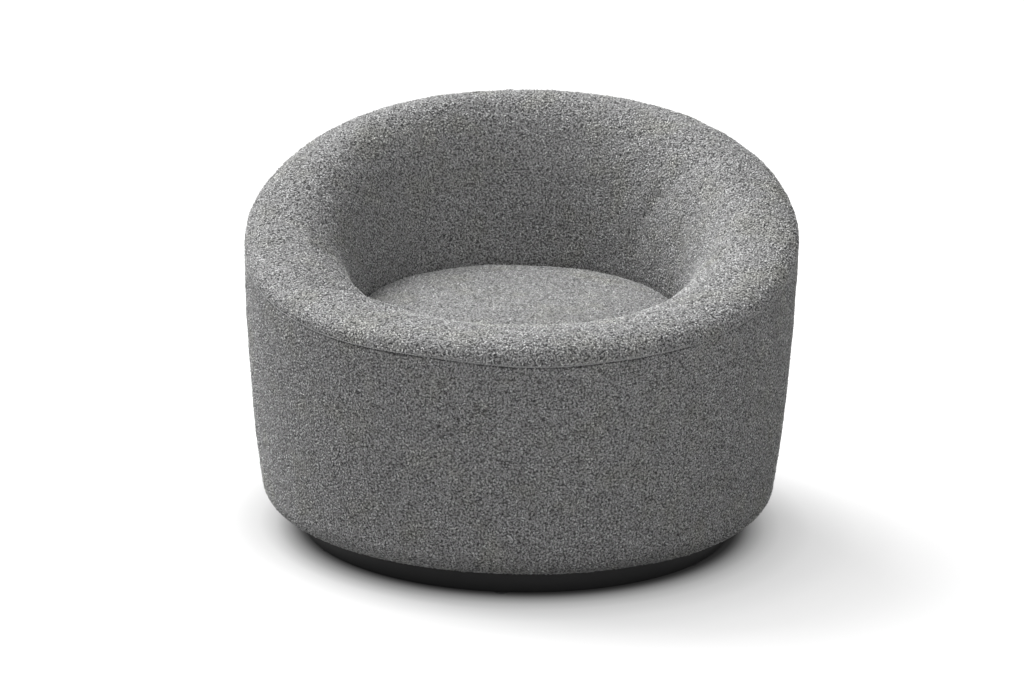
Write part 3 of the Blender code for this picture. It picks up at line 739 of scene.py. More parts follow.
foam = open_cell_foam()
cushion_normals = points_of(cushion, "normal")
faces = np.array([list(face.vertices) for face in cushion.data.polygons])
face_middles = cushion_points[faces].mean(axis=1)
face_reach = np.hypot(face_middles[:, 0], face_middles[:, 1])
kept = faces[(face_middles[:, 2] > cushion_bottom + 2 * spring_arch)
             | (face_reach > cushion_radius - turn_under)]
used, places = np.unique(kept, return_inverse=True)
cushion_foam = mesh_object("seat_cushion_foam_block", cushion_points - cushion_normals * foam_depth,
                           faces.tolist(), foam)
dress(cushion_foam, "seat_body", "foam", "seat_cushion_foam", fill=0.9)
cushion_cover = mesh_object("seat_cushion_boucle", cushion_points[used], places.reshape(kept.shape).tolist(),
                            ground_cloth)
wall = cushion_cover.modifiers.new("cloth", "SOLIDIFY")
wall.thickness = cover_thickness
wall.offset = -1.0
apply_modifiers(cushion_cover)
dress(cushion_cover, "seat_body", "boucle", "seat_cushion_cover", fill=0.85)
bpy.data.objects.remove(cushion)
print("cushion cover has", 2 * len(cushion_cover.data.polygons), "triangles")

# %% [markdown]
# The curls of the yarn could be drawn as bump alone, but then the rim's outline stays smooth and the pits
# cast no shade. Geometry Nodes scatter one small loop of yarn over the skins: points at least one spacing
# apart, each with its own lean, turn, size and shade. The loop is an arc swept with a three-sided yarn, and
# its two ends dive into the ground cloth. Panels keep each piece light enough.

# %% Curls of yarn as a geometry tree
curl_spacing = 0.0049
curl_radius = 0.0015
yarn_radius = 0.00100
curl_segments = 3
curl_sides = 3
curl_start, curl_sweep = -25, 230            # degrees of the arc that a loop is
curl_leans = (40, 86)        # degrees from upright, least and most
curl_sway = 20               # degrees to either side
least_stretch = (0.8, 0.85, 0.8)             # of a loop's width, thickness and height
most_stretch = (1.5, 1.15, 1.15)
density_cap = 150000.0       # curls on a square metre, well over what their spacing allows
painted_rim_highlight = 0.30        # painted highlight: curls on the rim's roll are painted this much lighter
faces_a_curl = curl_segments * curl_sides + 2


def new_tree(name, **sockets):
    """A geometry tree with named inputs, and the outputs of its input node."""
    tree = bpy.data.node_groups.new(name, "GeometryNodeTree")
    tree.interface.new_socket("Geometry", in_out="INPUT", socket_type="NodeSocketGeometry")
    for socket, kind in sockets.items():
        tree.interface.new_socket(socket.replace("_", " "), in_out="INPUT", socket_type="NodeSocket" + kind)
    tree.interface.new_socket("Geometry", in_out="OUTPUT", socket_type="NodeSocketGeometry")
    return tree, add_node(tree, "NodeGroupInput").outputs


def finish_tree(tree, instances, material):
    """Makes the instances real, smooth and of one material, and returns the tree."""
    real = add_node(tree, "GeometryNodeRealizeInstances", {"Geometry": instances})
    smooth = add_node(tree, "GeometryNodeSetShadeSmooth", {"Geometry": real.outputs[0]})
    dressed = add_node(tree, "GeometryNodeSetMaterial", {"Geometry": smooth.outputs[0], "Material": material})
    add_node(tree, "NodeGroupOutput", {"Geometry": dressed.outputs[0]})
    return tree


def curl_tree():
    """Scatters loops of yarn over a mesh."""
    tree, given = new_tree("boucle_curls", Spacing="Float", Curl_Radius="Float", Yarn_Radius="Float",
                           Seed="Int", Finish="Material")
    points = add_node(tree, "GeometryNodeDistributePointsOnFaces",
                      {"Mesh": given["Geometry"], "Distance Min": given["Spacing"],
                       "Density Max": density_cap, "Seed": given["Seed"]},
                      distribute_method="POISSON").outputs
    arc = add_node(tree, "GeometryNodeCurveArc",
                   {"Resolution": curl_segments + 1, "Radius": given["Curl Radius"],
                    "Start Angle": radians(curl_start), "Sweep Angle": radians(curl_sweep)})
    yarn = add_node(tree, "GeometryNodeCurvePrimitiveCircle",
                    {"Resolution": curl_sides, "Radius": given["Yarn Radius"]})
    loop = add_node(tree, "GeometryNodeCurveToMesh",
                    {"Curve": arc.outputs["Curve"], "Profile Curve": yarn.outputs["Curve"],
                     "Fill Caps": True})
    upright = add_node(tree, "GeometryNodeTransform", {"Geometry": loop.outputs[0],
                                                       "Rotation": Euler((pi / 2, 0, 0))})
    place = add_node(tree, "GeometryNodeInputPosition").outputs[0]
    opened = add_node(tree, "GeometryNodeInputNamedAttribute", {"Name": "opened"},
                      data_type="FLOAT").outputs[0]
    from_edge = maths(tree, "SUBTRACT", pit_distance(tree, place), maths(tree, "MULTIPLY", opened, open_pits))
    off_pits = maths(tree, "GREATER_THAN", from_edge, pit_size)
    lean = add_node(tree, "FunctionNodeRandomValue",
                    {"Min": (radians(curl_leans[0]), radians(-curl_sway), 0.0),
                     "Max": (radians(curl_leans[1]), radians(curl_sway), tau), "Seed": given["Seed"]},
                    data_type="FLOAT_VECTOR")
    lean = add_node(tree, "FunctionNodeEulerToRotation", {"Euler": lean.outputs[0]})
    turned = add_node(tree, "FunctionNodeRotateRotation",
                      {"Rotation": points["Rotation"], "Rotate By": lean.outputs[0]}, rotation_space="LOCAL")
    size = add_node(tree, "FunctionNodeRandomValue", {"Min": least_stretch, "Max": most_stretch, "Seed": 7},
                    data_type="FLOAT_VECTOR")
    curls = add_node(tree, "GeometryNodeInstanceOnPoints",
                     {"Points": points["Points"], "Selection": off_pits, "Instance": upright.outputs[0],
                      "Rotation": turned.outputs[0], "Scale": size.outputs[0]})
    shade = add_node(tree, "FunctionNodeRandomValue", {"Seed": 19}, data_type="FLOAT")
    # On the rim's roll the curls are lighter: a painted highlight.
    shade = maths(tree, "ADD", shade.outputs[1], maths(tree, "MULTIPLY", opened, painted_rim_highlight))
    shaded = add_node(tree, "GeometryNodeStoreNamedAttribute",
                      {"Geometry": curls.outputs[0], "Name": "curl_shade", "Value": shade},
                      data_type="FLOAT", domain="INSTANCE")
    return finish_tree(tree, shaded.outputs[0], given["Finish"])


def grown_on(made, tree, finish, **values):
    """Runs a geometry tree on an object with its named inputs set, and keeps the result as a mesh."""
    modifier = made.modifiers.new(tree.name, "NODES")
    modifier.node_group = tree
    values["Finish"] = finish
    for item in tree.interface.items_tree:
        key = item.name.replace(" ", "_")
        if item.in_out == "INPUT" and key in values:
            modifier[item.identifier] = values[key]
    graph = bpy.context.evaluated_depsgraph_get()
    mesh = bpy.data.meshes.new_from_object(made.evaluated_get(graph))
    mesh.materials.clear()
    mesh.materials.append(finish)
    name = made.name
    bpy.data.objects.remove(made)
    grown = bpy.data.objects.new(name, mesh)
    bpy.context.scene.collection.objects.link(grown)
    return grown


curl_nodes = curl_tree()
print("a curl has", faces_a_curl, "faces, and its tree", len(curl_nodes.nodes), "nodes")

# %% [markdown]
# The tree runs on strips of the three skins. The strips leave the seam free, so that its fold shows, and
# stop where the cushion hides the tub. Each curl also gets a small square of its own in the UV map, because
# all of a curl has one shade.

# %% Curls on the cloth
hidden_height = 0.425        # the cushion hides the tub below this
drum_panels, tub_panels = 6, 5
hem_strip = 0.012            # curls grow this far in under the bottom edge
cushion_curls_from = 0.006   # and on the cushion from this far up its upper edge


def lay_out_curls(made):
    """A UV map with one square cell for each curl. Returns the number of curls."""
    sizes = np.empty(len(made.data.polygons), np.int32)
    made.data.polygons.foreach_get("loop_total", sizes)
    count = len(sizes) // faces_a_curl
    across = int(np.ceil(np.sqrt(count)))
    curl = np.repeat(np.arange(len(sizes)) // faces_a_curl, sizes)
    first = np.repeat(np.cumsum(sizes) - sizes, sizes)
    corner = (np.arange(len(curl)) - first) % 4
    square = np.array([(0.2, 0.2), (0.8, 0.2), (0.8, 0.8), (0.2, 0.8)])[corner]
    cell = np.stack([curl % across, curl // across], axis=1)
    layer = made.data.uv_layers.get("OFBake") or made.data.uv_layers.new(name="OFBake")
    layer.uv.foreach_set("vector", ((cell + square) / across).astype(np.float32).ravel())
    return count


def curls_on(name, points, faces, seed, opened=None):
    """Curls on one panel of cloth, as a piece of their own. Returns their number."""
    panel = mesh_object(name, points, faces, looped_yarn)
    if opened is not None:
        paint(panel, "opened", opened)
    panel = grown_on(panel, curl_nodes, looped_yarn, Spacing=curl_spacing, Curl_Radius=curl_radius,
                     Yarn_Radius=yarn_radius, Seed=seed)
    dress(panel, "seat_body", "boucle")
    return lay_out_curls(panel)


def curls_round(name, skin, panels, seed, opened=None):
    """Curls on a strip that goes round the chair, in equal panels. The faces point outwards."""
    width = columns // panels
    counts = []
    for number in range(panels):
        picked = (number * width + np.arange(width + 1)) % columns
        panel_faces = grid_faces(len(skin), width + 1, close_across=False).tolist()
        counts.append(curls_on(f"{name}_{number + 1}", skin[:, picked].reshape(-1, 3), panel_faces,
                               seed + number, None if opened is None else opened[:, picked]))
    print(name, "has", sum(counts), "curls, at most", max(counts), "in a panel")


hem_row = int(np.argmax(np.hypot(drum_form[:, 0, 0], drum_form[:, 0, 1]) > edge_centre_radius - hem_strip))
curls_round("drum_curls", drum_skin[hem_row:drum_rows - free_below], drum_panels, 100)
inside = np.hypot(tub_form[:, 0, 0], tub_form[:, 0, 1]) < crest_radius
last_row = int(np.argmax(inside & (tub_form[:, :, 2].max(axis=1) < hidden_height)))
curls_round("tub_curls", tub_skin[free_above:last_row], tub_panels, 200, tub_opened[free_above:last_row])

on_top = faces[face_middles[:, 2] > tub_straight_top + cushion_curls_from]
used, places = np.unique(on_top, return_inverse=True)
count = curls_on("seat_cushion_curls", cushion_points[used], places.reshape(on_top.shape).tolist(), 300)
print("seat_cushion_curls has", count, "curls")

# %% [markdown]
# The seam is closed by hand with a curved needle. What shows is a row of short stitches of grey thread that
# pull the fold down on the cloth below. A second geometry tree sets a small arched bar at equal steps along
# a curve, turned to follow it, with a little slant that varies.

# %% Seam stitches
stitch_step = 0.0058
stitch_length = 0.0040
thread_radius = 0.00070
stitch_arch = 0.0012
stitch_slant = 14            # degrees either way
thread_sides = 5
thread_lift = 0.0008         # the stitches' ends lie this far over the seam
thread_twist = 0.004         # the twist's stripes repeat at about a third of this
bar_points = 5               # along one arched bar


def polyester_thread():
    """Spun polyester thread: smooth, slightly shiny, with the twist as fine stripes."""
    made, tree, shader = new_material("spun_polyester_thread", 0.5)
    twist = add_node(tree, "ShaderNodeTexWave", {"Vector": surface_place(tree), "Scale": 1 / thread_twist,
                                                 "Distortion": 1.5}, bands_direction="DIAGONAL")
    grey = add_node(tree, "ShaderNodeValToRGB", {"Fac": twist.outputs["Fac"]},
                    stops=[(0.0, "#8f8f8f"), (1.0, "#b4b4b4")])
    tree.links.new(grey.outputs["Color"], shader.inputs["Base Color"])
    return made


def bar_tree():
    """Sets a small arched bar of wire or thread at equal steps along a curve."""
    tree, given = new_tree("bars_along_a_curve", Step="Float", Length="Float", Wire_Radius="Float",
                           Arch="Float", Slant="Float", Sides="Int", Finish="Material")
    points = add_node(tree, "GeometryNodeCurveToPoints",
                      {"Curve": given["Geometry"], "Length": given["Step"]}, mode="LENGTH").outputs
    half = maths(tree, "MULTIPLY", given["Length"], 0.5)
    start = add_node(tree, "ShaderNodeCombineXYZ", {"Z": maths(tree, "MULTIPLY", half, -1.0)}).outputs[0]
    end = add_node(tree, "ShaderNodeCombineXYZ", {"Z": half}).outputs[0]
    middle = add_node(tree, "ShaderNodeCombineXYZ", {"X": given["Arch"]}).outputs[0]
    bow = add_node(tree, "GeometryNodeCurveQuadraticBezier",
                   {"Resolution": bar_points, "Start": start, "Middle": middle, "End": end})
    wire = add_node(tree, "GeometryNodeCurvePrimitiveCircle",
                    {"Resolution": given["Sides"], "Radius": given["Wire Radius"]})
    bar = add_node(tree, "GeometryNodeCurveToMesh",
                   {"Curve": bow.outputs["Curve"], "Profile Curve": wire.outputs["Curve"], "Fill Caps": True})
    slant = add_node(tree, "FunctionNodeRandomValue", {2: maths(tree, "MULTIPLY", given["Slant"], -1.0),
                                                       3: given["Slant"], "Seed": 5}, data_type="FLOAT")
    turn = add_node(tree, "ShaderNodeCombineXYZ", {"X": slant.outputs[1]})
    turn = add_node(tree, "FunctionNodeEulerToRotation", {"Euler": turn.outputs[0]})
    turned = add_node(tree, "FunctionNodeRotateRotation",
                      {"Rotation": points["Rotation"], "Rotate By": turn.outputs[0]}, rotation_space="LOCAL")
    bars = add_node(tree, "GeometryNodeInstanceOnPoints",
                    {"Points": points["Points"], "Instance": bar.outputs[0], "Rotation": turned.outputs[0]})
    return finish_tree(tree, bars.outputs[0], given["Finish"])


def bars_in(made, sides):
    """How many bars a mesh holds, from the faces of one: its sides and two caps."""
    return len(made.data.polygons) // ((bar_points - 1) * sides + 2)


def closed_path(name, points):
    """A closed curve object through the points, whose normals lie level and point outwards."""
    curve = bpy.data.curves.new(name, "CURVE")
    curve.dimensions = "3D"
    curve.twist_mode = "Z_UP"
    line = curve.splines.new("POLY")
    line.points.add(len(points) - 1)
    line.points.foreach_set("co", np.concatenate([points, np.ones((len(points), 1))], axis=1).ravel())
    line.use_cyclic_u = True
    laid = bpy.data.objects.new(name, curve)
    bpy.context.scene.collection.objects.link(laid)
    return laid


bar_nodes = bar_tree()
seam_line = (drum_skin[-1] + tub_skin[0]) / 2 + tub_normals[0] * thread_lift
stitches = grown_on(closed_path("seam_stitches", seam_line), bar_nodes, polyester_thread(), Step=stitch_step,
                    Length=stitch_length, Wire_Radius=thread_radius, Arch=stitch_arch,
                    Slant=radians(stitch_slant), Sides=thread_sides)
dress(stitches, "seat_body", "boucle")
print("seam_stitches has", bars_in(stitches, thread_sides), "stitches")

# %% [markdown]
# Inside the covers lie two pieces of foam: a thin layer round the drum's wall and a thick one over the rim
# and down the tub. They are seen when the covers are taken off. Both lie close against the cloth, so their
# outer faces follow the same unevenness, one cloth's thickness deeper, and their inner faces lie on the
# frame.

# %% Foam of the wall and the rim
under_cloth = cover_thickness + 0.0009       # the foam lies a little clear of the cloth's inner face
wall_foam_depth = 0.0135                     # of its inner face under the form
board_depth = 0.0168                         # of the hardboard's outer face under the form
rim_foam = 0.043                             # over the top rail
tub_foam = 0.041                             # down the inside
foam_lap = fine_step * fine_rows             # the rim's foam laps over the wall's, this far below the seam
lap_gap = 0.0006
edge_gap = 0.0003                            # the wall's foam starts this far outside that edge's centre
least_step = 0.002                           # between the lap and the row below it
rail_half_width = 0.018
frame_facets = 36                            # the tub foam's inner face keeps to the flats of so many sides
foam_rows = 60
foam_columns = turns[::2]


def lap_point(direction):
    """Where the rim's foam ends below the seam, over the edge of the wall's foam."""
    height = seam_height(direction) - foam_lap
    return wall_radius(height), height


def wall_foam_face(direction):
    """The form over the thin foam, from the bottom edge up to the lap."""
    skin = drum_section(direction)[1:]
    lap = lap_point(direction)
    return np.concatenate([skin[skin[:, 1] < lap[1] - least_step], [lap]])


def rim_foam_face(direction):
    """The form over the thick foam, from the lap over the rim to the tub's foot."""
    return np.concatenate([[lap_point(direction)], tub_section(direction)])


def frame_face(direction):
    """The frame's face under the thick foam, over the top rail and down to the seat ring."""
    radius, lap = lap_point(direction)
    top = crest_height(direction) - rim_foam
    facet = cos(pi / frame_facets)
    outer = quarter((radius - board_depth, lap), (crest_radius + rail_half_width, top), 16, True)
    foot = ((tub_radius + tub_foam) * facet, tub_foot)
    inner = quarter(foot, ((crest_radius - rail_half_width) * facet, top), 24, True)
    return np.concatenate([outer, inner[::-1]])


def moved_in(form, above_seam):
    """The foam's outer face under a form."""
    return form + grid_normals(form) * (cloth_offset(form, above_seam) - under_cloth)[:, :, None]


wall_form = swept(wall_foam_face, foam_rows, foam_columns)
length = length_along(wall_form)
layers = np.concatenate([moved_in(wall_form, length - length[-1] - foam_lap),
                         (wall_form - grid_normals(wall_form) * wall_foam_depth)[::-1]])
reach = np.hypot(layers[..., 0], layers[..., 1])
layers[..., :2] *= (np.maximum(reach, edge_centre_radius + edge_gap) / reach)[..., None]
layers[..., 2] = np.minimum(layers[..., 2], wall_form[-1, :, 2] - lap_gap)
dress(closed_ring("wall_foam_layer", layers, foam), "seat_body", "foam", "wall_foam", fill=0.8)

rim_form = swept(rim_foam_face, 2 * foam_rows, foam_columns)
outer_face = moved_in(rim_form, length_along(rim_form) - foam_lap)
outer_face[0, :, 2] = np.maximum(outer_face[0, :, 2], rim_form[0, :, 2])
inner_face = swept(frame_face, foam_rows, foam_columns)[::-1]
rim_roll = closed_ring("rim_foam_roll", np.concatenate([outer_face, inner_face]), foam)
dress(rim_roll, "seat_body", "foam", "rim_foam", fill=0.9)

# %% [markdown]
# Under the cushion a felt pad keeps the springs off the foam, and under the plinth six felt pads keep it
# off the floor. Felt is pressed fibre: dark, with pale flecks and a soft, rounded cut edge. The six feet
# stand on the points of a circle, which is what instancing on a mesh circle is for.

# %% Felt pad and felt glides
pad_low, pad_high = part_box("seat_pad")
pad_thickness = 0.005
glide_names = [name for name in nodes if name.startswith("felt_glide")]
glide_low, glide_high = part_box(glide_names[0])
glide_radius = (glide_high.x - glide_low.x) / 2
glide_ring = -(glide_high.y + glide_low.y) / 2
glide_edge = 0.0008
felt_fleck = 0.0016          # width of a lighter fleck


def pressed_felt():
    """Needled wool felt: charcoal with lighter flecks, rough all over."""
    made, tree, shader = new_material("pressed_wool_felt", 0.95)
    flecks = add_node(tree, "ShaderNodeTexNoise", {"Vector": surface_place(tree, (1.0, 2.6, 1.0)),
                                                   "Scale": 1 / felt_fleck, "Detail": 5.0, "Distortion": 1.2})
    grey = add_node(tree, "ShaderNodeValToRGB", {"Fac": flecks.outputs["Fac"]},
                    stops=[(0.35, "#2a2a2b"), (0.6, "#444446"), (0.78, "#7a7a7a")])
    tree.links.new(grey.outputs["Color"], shader.inputs["Base Color"])
    add_bump(tree, shader, flecks.outputs["Fac"], 0.0006)
    return made


def rounded_disc(radius, bottom, top, edge, steps=5):
    """Section of a disc with rounded edges, from the middle of its top to the middle of its bottom."""
    angle = np.linspace(0, pi / 2, steps)
    upper = np.stack([radius - edge + edge * np.sin(angle), top - edge + edge * np.cos(angle)], axis=1)
    lower = np.stack([radius - edge + edge * np.cos(angle), bottom + edge - edge * np.sin(angle)], axis=1)
    return np.concatenate([[(0, top)], upper, lower, [(0, bottom)]])


def glide_tree():
    """Sets a glide on each point of a mesh circle."""
    tree, given = new_tree("glide_ring", Count="Int", Ring_Radius="Float", Finish="Material")
    ring = add_node(tree, "GeometryNodeMeshCircle",
                    {"Vertices": given["Count"], "Radius": given["Ring Radius"]})
    turned = add_node(tree, "GeometryNodeTransform", {"Geometry": ring.outputs[0],
                                                      "Rotation": Euler((0, 0, pi / 2))})
    feet = add_node(tree, "GeometryNodeInstanceOnPoints", {"Points": turned.outputs[0],
                                                           "Instance": given["Geometry"]})
    return finish_tree(tree, feet.outputs[0], given["Finish"])


felt = pressed_felt()
flat = rounded_disc(pad_high.x, pad_low.z, pad_low.z + pad_thickness, pad_thickness * 0.4)
radii = np.linspace(0, dome_radius, 12)
pad_section = np.concatenate([arched(pad_low.z + pad_thickness, radii), flat[1:-1],
                              arched(pad_low.z, radii[::-1])])
dress(lathed("spring_felt_pad", pad_section, 160, felt), "seat_body", "felt", "seat_pad", fill=0.9)
glide = lathed("felt_glides", rounded_disc(glide_radius, 0.0, glide_high.z, glide_edge), 32, felt)
glides = grown_on(glide, glide_tree(), felt, Count=len(glide_names), Ring_Radius=glide_ring)
dress(glides, "base", "felt", *glide_names, fill=1.0)
print("glides on a ring of radius", round(glide_ring, 4))

# %% [markdown]
# The plinth is a turned ring of board with a satin black lacquer. Its corners are eased, its lower edge is
# worn a little where feet and brooms meet it, and the lacquer has a faint orange-peel surface.

# %% Plinth ring
plinth_low, plinth_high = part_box("plinth_ring")
plinth_wall = 0.018
plinth_ledge = 0.012
ledge_height = 0.006
ease = 0.0015                # radius of its eased corners
peel_width = 0.0022          # of one dimple of the sprayed surface
scuff_width = 0.02
scuff_height = 0.006         # the lacquer is worn up to here


def satin_lacquer():
    """Sprayed satin lacquer on fibreboard: near black, a soft shine, dust-fine relief, worn low down."""
    made, tree, shader = new_material("satin_black_lacquer", 0.5)
    place = surface_place(tree)
    peel = add_node(tree, "ShaderNodeTexNoise", {"Vector": place, "Scale": 1 / peel_width, "Detail": 1.0})
    rub = add_node(tree, "ShaderNodeTexNoise",
                   {"Vector": place, "Scale": 1 / scuff_width, "Detail": 4.0}).outputs["Fac"]
    height = add_node(tree, "ShaderNodeSeparateXYZ", {"Vector": place}).outputs["Z"]
    low = add_node(tree, "ShaderNodeMapRange",
                   {"Value": height, "From Min": plinth_low.z, "From Max": plinth_low.z + scuff_height,
                    "To Min": 1.0, "To Max": 0.0})
    worn = add_node(tree, "ShaderNodeMapRange", {"Value": maths(tree, "MULTIPLY", low.outputs[0], rub),
                                                 "From Min": 0.42, "From Max": 0.62})
    black = mix_colours(tree, worn.outputs[0], linear("#060607"), linear("#1d1c1b"))
    tree.links.new(black, shader.inputs["Base Color"])
    rough = add_node(tree, "ShaderNodeMapRange", {"Value": rub, "To Min": 0.42, "To Max": 0.6})
    shader.inputs["Specular IOR Level"].default_value = 0.3
    tree.links.new(rough.outputs[0], shader.inputs["Roughness"])
    add_bump(tree, shader, peel.outputs["Fac"], 0.00012)
    return made


def eased(corners, radius, steps=4):
    """A closed outline of level and upright sides with each corner rounded."""
    corners = np.array(corners)
    outline = []
    for here, before, after in zip(corners, np.roll(corners, 1, axis=0), np.roll(corners, -1, axis=0)):
        way_in = (before - here) / np.linalg.norm(before - here)
        way_out = (after - here) / np.linalg.norm(after - here)
        centre = here + radius * (way_in + way_out)
        outline += [centre - radius * (way_out * cos(angle) + way_in * sin(angle))
                    for angle in np.linspace(0, pi / 2, steps)]
    return np.array(outline)


inner_radius = plinth_high.x - plinth_wall
ledge_top = plinth_low.z + ledge_height
ring = eased([(plinth_high.x, plinth_low.z), (plinth_high.x, plinth_high.z), (inner_radius, plinth_high.z),
              (inner_radius, ledge_top), (inner_radius - plinth_ledge, ledge_top),
              (inner_radius - plinth_ledge, plinth_low.z)], ease)
plinth_turns = turns[::2]
grid = round_points(ring[:, :1], np.repeat(ring[:, 1:], len(plinth_turns), axis=1), plinth_turns)
dress(closed_ring("lacquered_plinth", grid, satin_lacquer()), "base", "black_lacquer", "plinth_ring")
print("plinth ring", round(2 * plinth_high.x, 3), "m across and", round(plinth_high.z, 3), "m to its top")

# %% [markdown]
# A black non-woven cloth closes the frame underneath, inside the drum cover's turned-under edge. It is a
# thin sheet with an embossed dot pattern, stretched flat under the floor board, so a turned section is
# enough.

# %% Dust cover
dust_low, dust_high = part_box("dust_cover")
dust_radius = dust_high.x
dot_pitch = 0.002            # of the pressed dots


def black_cambric():
    """Spun-bonded polypropylene: thin, black and matt, with rows of tiny pressed dots."""
    made, tree, shader = new_material("spun_bonded_cambric", 0.85)
    dots = add_node(tree, "ShaderNodeTexVoronoi", {"Vector": surface_place(tree), "Scale": 1 / dot_pitch,
                                                   "Randomness": 0.1})
    grey = add_node(tree, "ShaderNodeValToRGB", {"Fac": dots.outputs["Distance"]},
                    stops=[(0.2, "#0d0d0d"), (0.45, "#1e1e1f")])
    tree.links.new(grey.outputs["Color"], shader.inputs["Base Color"])
    add_bump(tree, shader, dots.outputs["Distance"], 0.0002)
    return made


edge = rounded_disc(dust_radius, dust_low.z, dust_high.z, (dust_high.z - dust_low.z) * 0.45, steps=3)
radii = np.linspace(0, dust_radius, 30)[1:-1]
top_face = np.stack([radii, np.full(len(radii), dust_high.z)], axis=1)
bottom_face = np.stack([radii[::-1], np.full(len(radii), dust_low.z)], axis=1)
dust_section = np.concatenate([edge[:1], top_face, edge[1:-1], bottom_face, edge[-1:]])
dust_cover = lathed("cambric_dust_cover", dust_section, 144, black_cambric())
dress(dust_cover, "seat_body", "cambric", "dust_cover")
print("dust cover", round(2 * dust_radius, 3), "m across,", round(dust_high.z - dust_low.z, 5), "m thick")

# %% [markdown]
# Zinc-plated wire staples hold the dust cover and the hem of the drum's cover to the floor board. Both rows
# are made by the same tree that made the stitches, with thinner wire and a flat crown.

# %% Staples
staple_step = 0.034
staple_crown = 0.010
staple_wire = 0.0005
staple_slant = 18            # degrees either way
staple_sides = 6
staple_inset = 0.010         # from the dust cover's edge
hem_staple_inset = 0.006     # from the hem of the drum's cover
zinc_cloud = 0.012           # width of its cloudy patches
zinc_scratch = 0.003         # length of its fine scratches, a fourteenth as wide


def zinc_plate():
    """Bright zinc-plated steel: a cool grey metal, a little clouded and brushed by handling."""
    made, tree, shader = new_material("zinc_plated_steel", 0.35, 1.0)
    cloud = add_node(tree, "ShaderNodeTexNoise",
                     {"Vector": surface_place(tree), "Scale": 1 / zinc_cloud, "Detail": 4.0})
    scratch = add_node(tree, "ShaderNodeTexNoise",
                       {"Vector": surface_place(tree, (1.0, 14.0, 1.0)), "Scale": 1 / zinc_scratch})
    grey = add_node(tree, "ShaderNodeValToRGB", {"Fac": cloud.outputs["Fac"]},
                    stops=[(0.35, "#b3b5b2"), (0.7, "#d3d4cf")])
    tree.links.new(grey.outputs["Color"], shader.inputs["Base Color"])
    rough = add_node(tree, "ShaderNodeMapRange",
                     {"Value": scratch.outputs["Fac"], "To Min": 0.25, "To Max": 0.5})
    tree.links.new(rough.outputs[0], shader.inputs["Roughness"])
    return made


def staple_row(name, radius, level):
    """Staples in a ring, with their crowns against a level underside."""
    path = round_points(np.full(columns, radius), np.full(columns, level - staple_wire * 0.6), turns)
    row = grown_on(closed_path(name, path), bar_nodes, zinc, Step=staple_step, Length=staple_crown,
                   Wire_Radius=staple_wire, Arch=0.0, Slant=radians(staple_slant), Sides=staple_sides)
    dress(row, "seat_body", "zinc_steel")
    print(name, "has", bars_in(row, staple_sides), "staples")


zinc = zinc_plate()
staple_row("dust_cover_staples", dust_radius - staple_inset, dust_low.z)
staple_row("hem_staples", turned_under_radius + hem_staple_inset, drum_skin[0, :, 2].min())

# %% [markdown]
# The rigid parts inside keep their CAD meshes and get better finishes. Plywood needs most care: its faces
# show a broad rotary-cut figure and its edges show the plies. The shader tells the two apart by the
# surface's own normal, and for the upright ribs it works out how far a point lies from the middle of its
# board.

# %% Plywood
ply_pitch = 0.0015           # of one veneer
rib_count = 12
figure_size = 0.05           # the bands of the figure repeat at about a third of this
grain_width = 0.004          # of a darker streak, 25 times as long
pore_width = 0.0012


def birch_plywood(name, upright):
    """Birch plywood, faces and edges. The upright boards are the ribs, which stand in even directions."""
    made, tree, shader = new_material(name, 0.55)
    split = add_node(tree, "ShaderNodeSeparateXYZ", {"Vector": surface_place(tree)}).outputs
    facing = add_node(tree, "ShaderNodeTexCoord").outputs["Normal"]
    facing = add_node(tree, "ShaderNodeSeparateXYZ", {"Vector": facing}).outputs
    if upright:
        step = tau / rib_count
        turn = maths(tree, "ARCTAN2", split["X"], split["Y"])
        rib = maths(tree, "SNAP", maths(tree, "ADD", turn, step / 2), step)
        level = surface_place(tree, (1.0, 1.0, 0.0))
        reach = add_node(tree, "ShaderNodeVectorMath", {0: level}, operation="LENGTH").outputs["Value"]
        across = maths(tree, "MULTIPLY", maths(tree, "SUBTRACT", turn, rib), reach)
        flat = maths(tree, "SUBTRACT", maths(tree, "MULTIPLY", facing["X"], maths(tree, "COSINE", rib)),
                     maths(tree, "MULTIPLY", facing["Y"], maths(tree, "SINE", rib)))
    else:
        across, flat = split["Z"], facing["Z"]
    is_face = maths(tree, "GREATER_THAN", maths(tree, "ABSOLUTE", flat), 0.7)
    veneer = maths(tree, "SINE", maths(tree, "MULTIPLY", across, pi / ply_pitch))
    veneer = add_node(tree, "ShaderNodeMapRange",
                      {"Value": veneer, "From Min": -0.3, "From Max": 0.3}).outputs[0]
    plies = mix_colours(tree, veneer, linear("#b08a5c"), linear("#e0c69a"))
    figure = add_node(tree, "ShaderNodeTexWave",
                      {"Vector": surface_place(tree, (1.0, 0.12, 1.0)), "Scale": 1 / figure_size,
                       "Distortion": 14.0, "Detail": 4.0, "Detail Scale": 0.6})
    face = add_node(tree, "ShaderNodeValToRGB", {"Fac": figure.outputs["Fac"]},
                    stops=[(0.0, "#cdae7f"), (0.5, "#d9be90"), (1.0, "#e0c89c")])
    grain = add_node(tree, "ShaderNodeTexNoise", {"Vector": surface_place(tree, (1.0, 0.04, 1.0)),
                                                  "Scale": 1 / grain_width, "Detail": 3.0})
    streak = add_node(tree, "ShaderNodeMapRange", {"Value": grain.outputs["Fac"], "From Min": 0.45,
                                                   "From Max": 0.75, "To Max": 0.7}).outputs[0]
    grained = mix_colours(tree, streak, face.outputs["Color"], linear("#b48f5e"))
    colour = mix_colours(tree, is_face, plies, grained)
    pores = add_node(tree, "ShaderNodeTexNoise",
                     {"Vector": surface_place(tree, (1.0, 0.1, 1.0)), "Scale": 1 / pore_width, "Detail": 2.0})
    tree.links.new(colour, shader.inputs["Base Color"])
    add_bump(tree, shader, pores.outputs["Fac"], 0.00025)
    return made


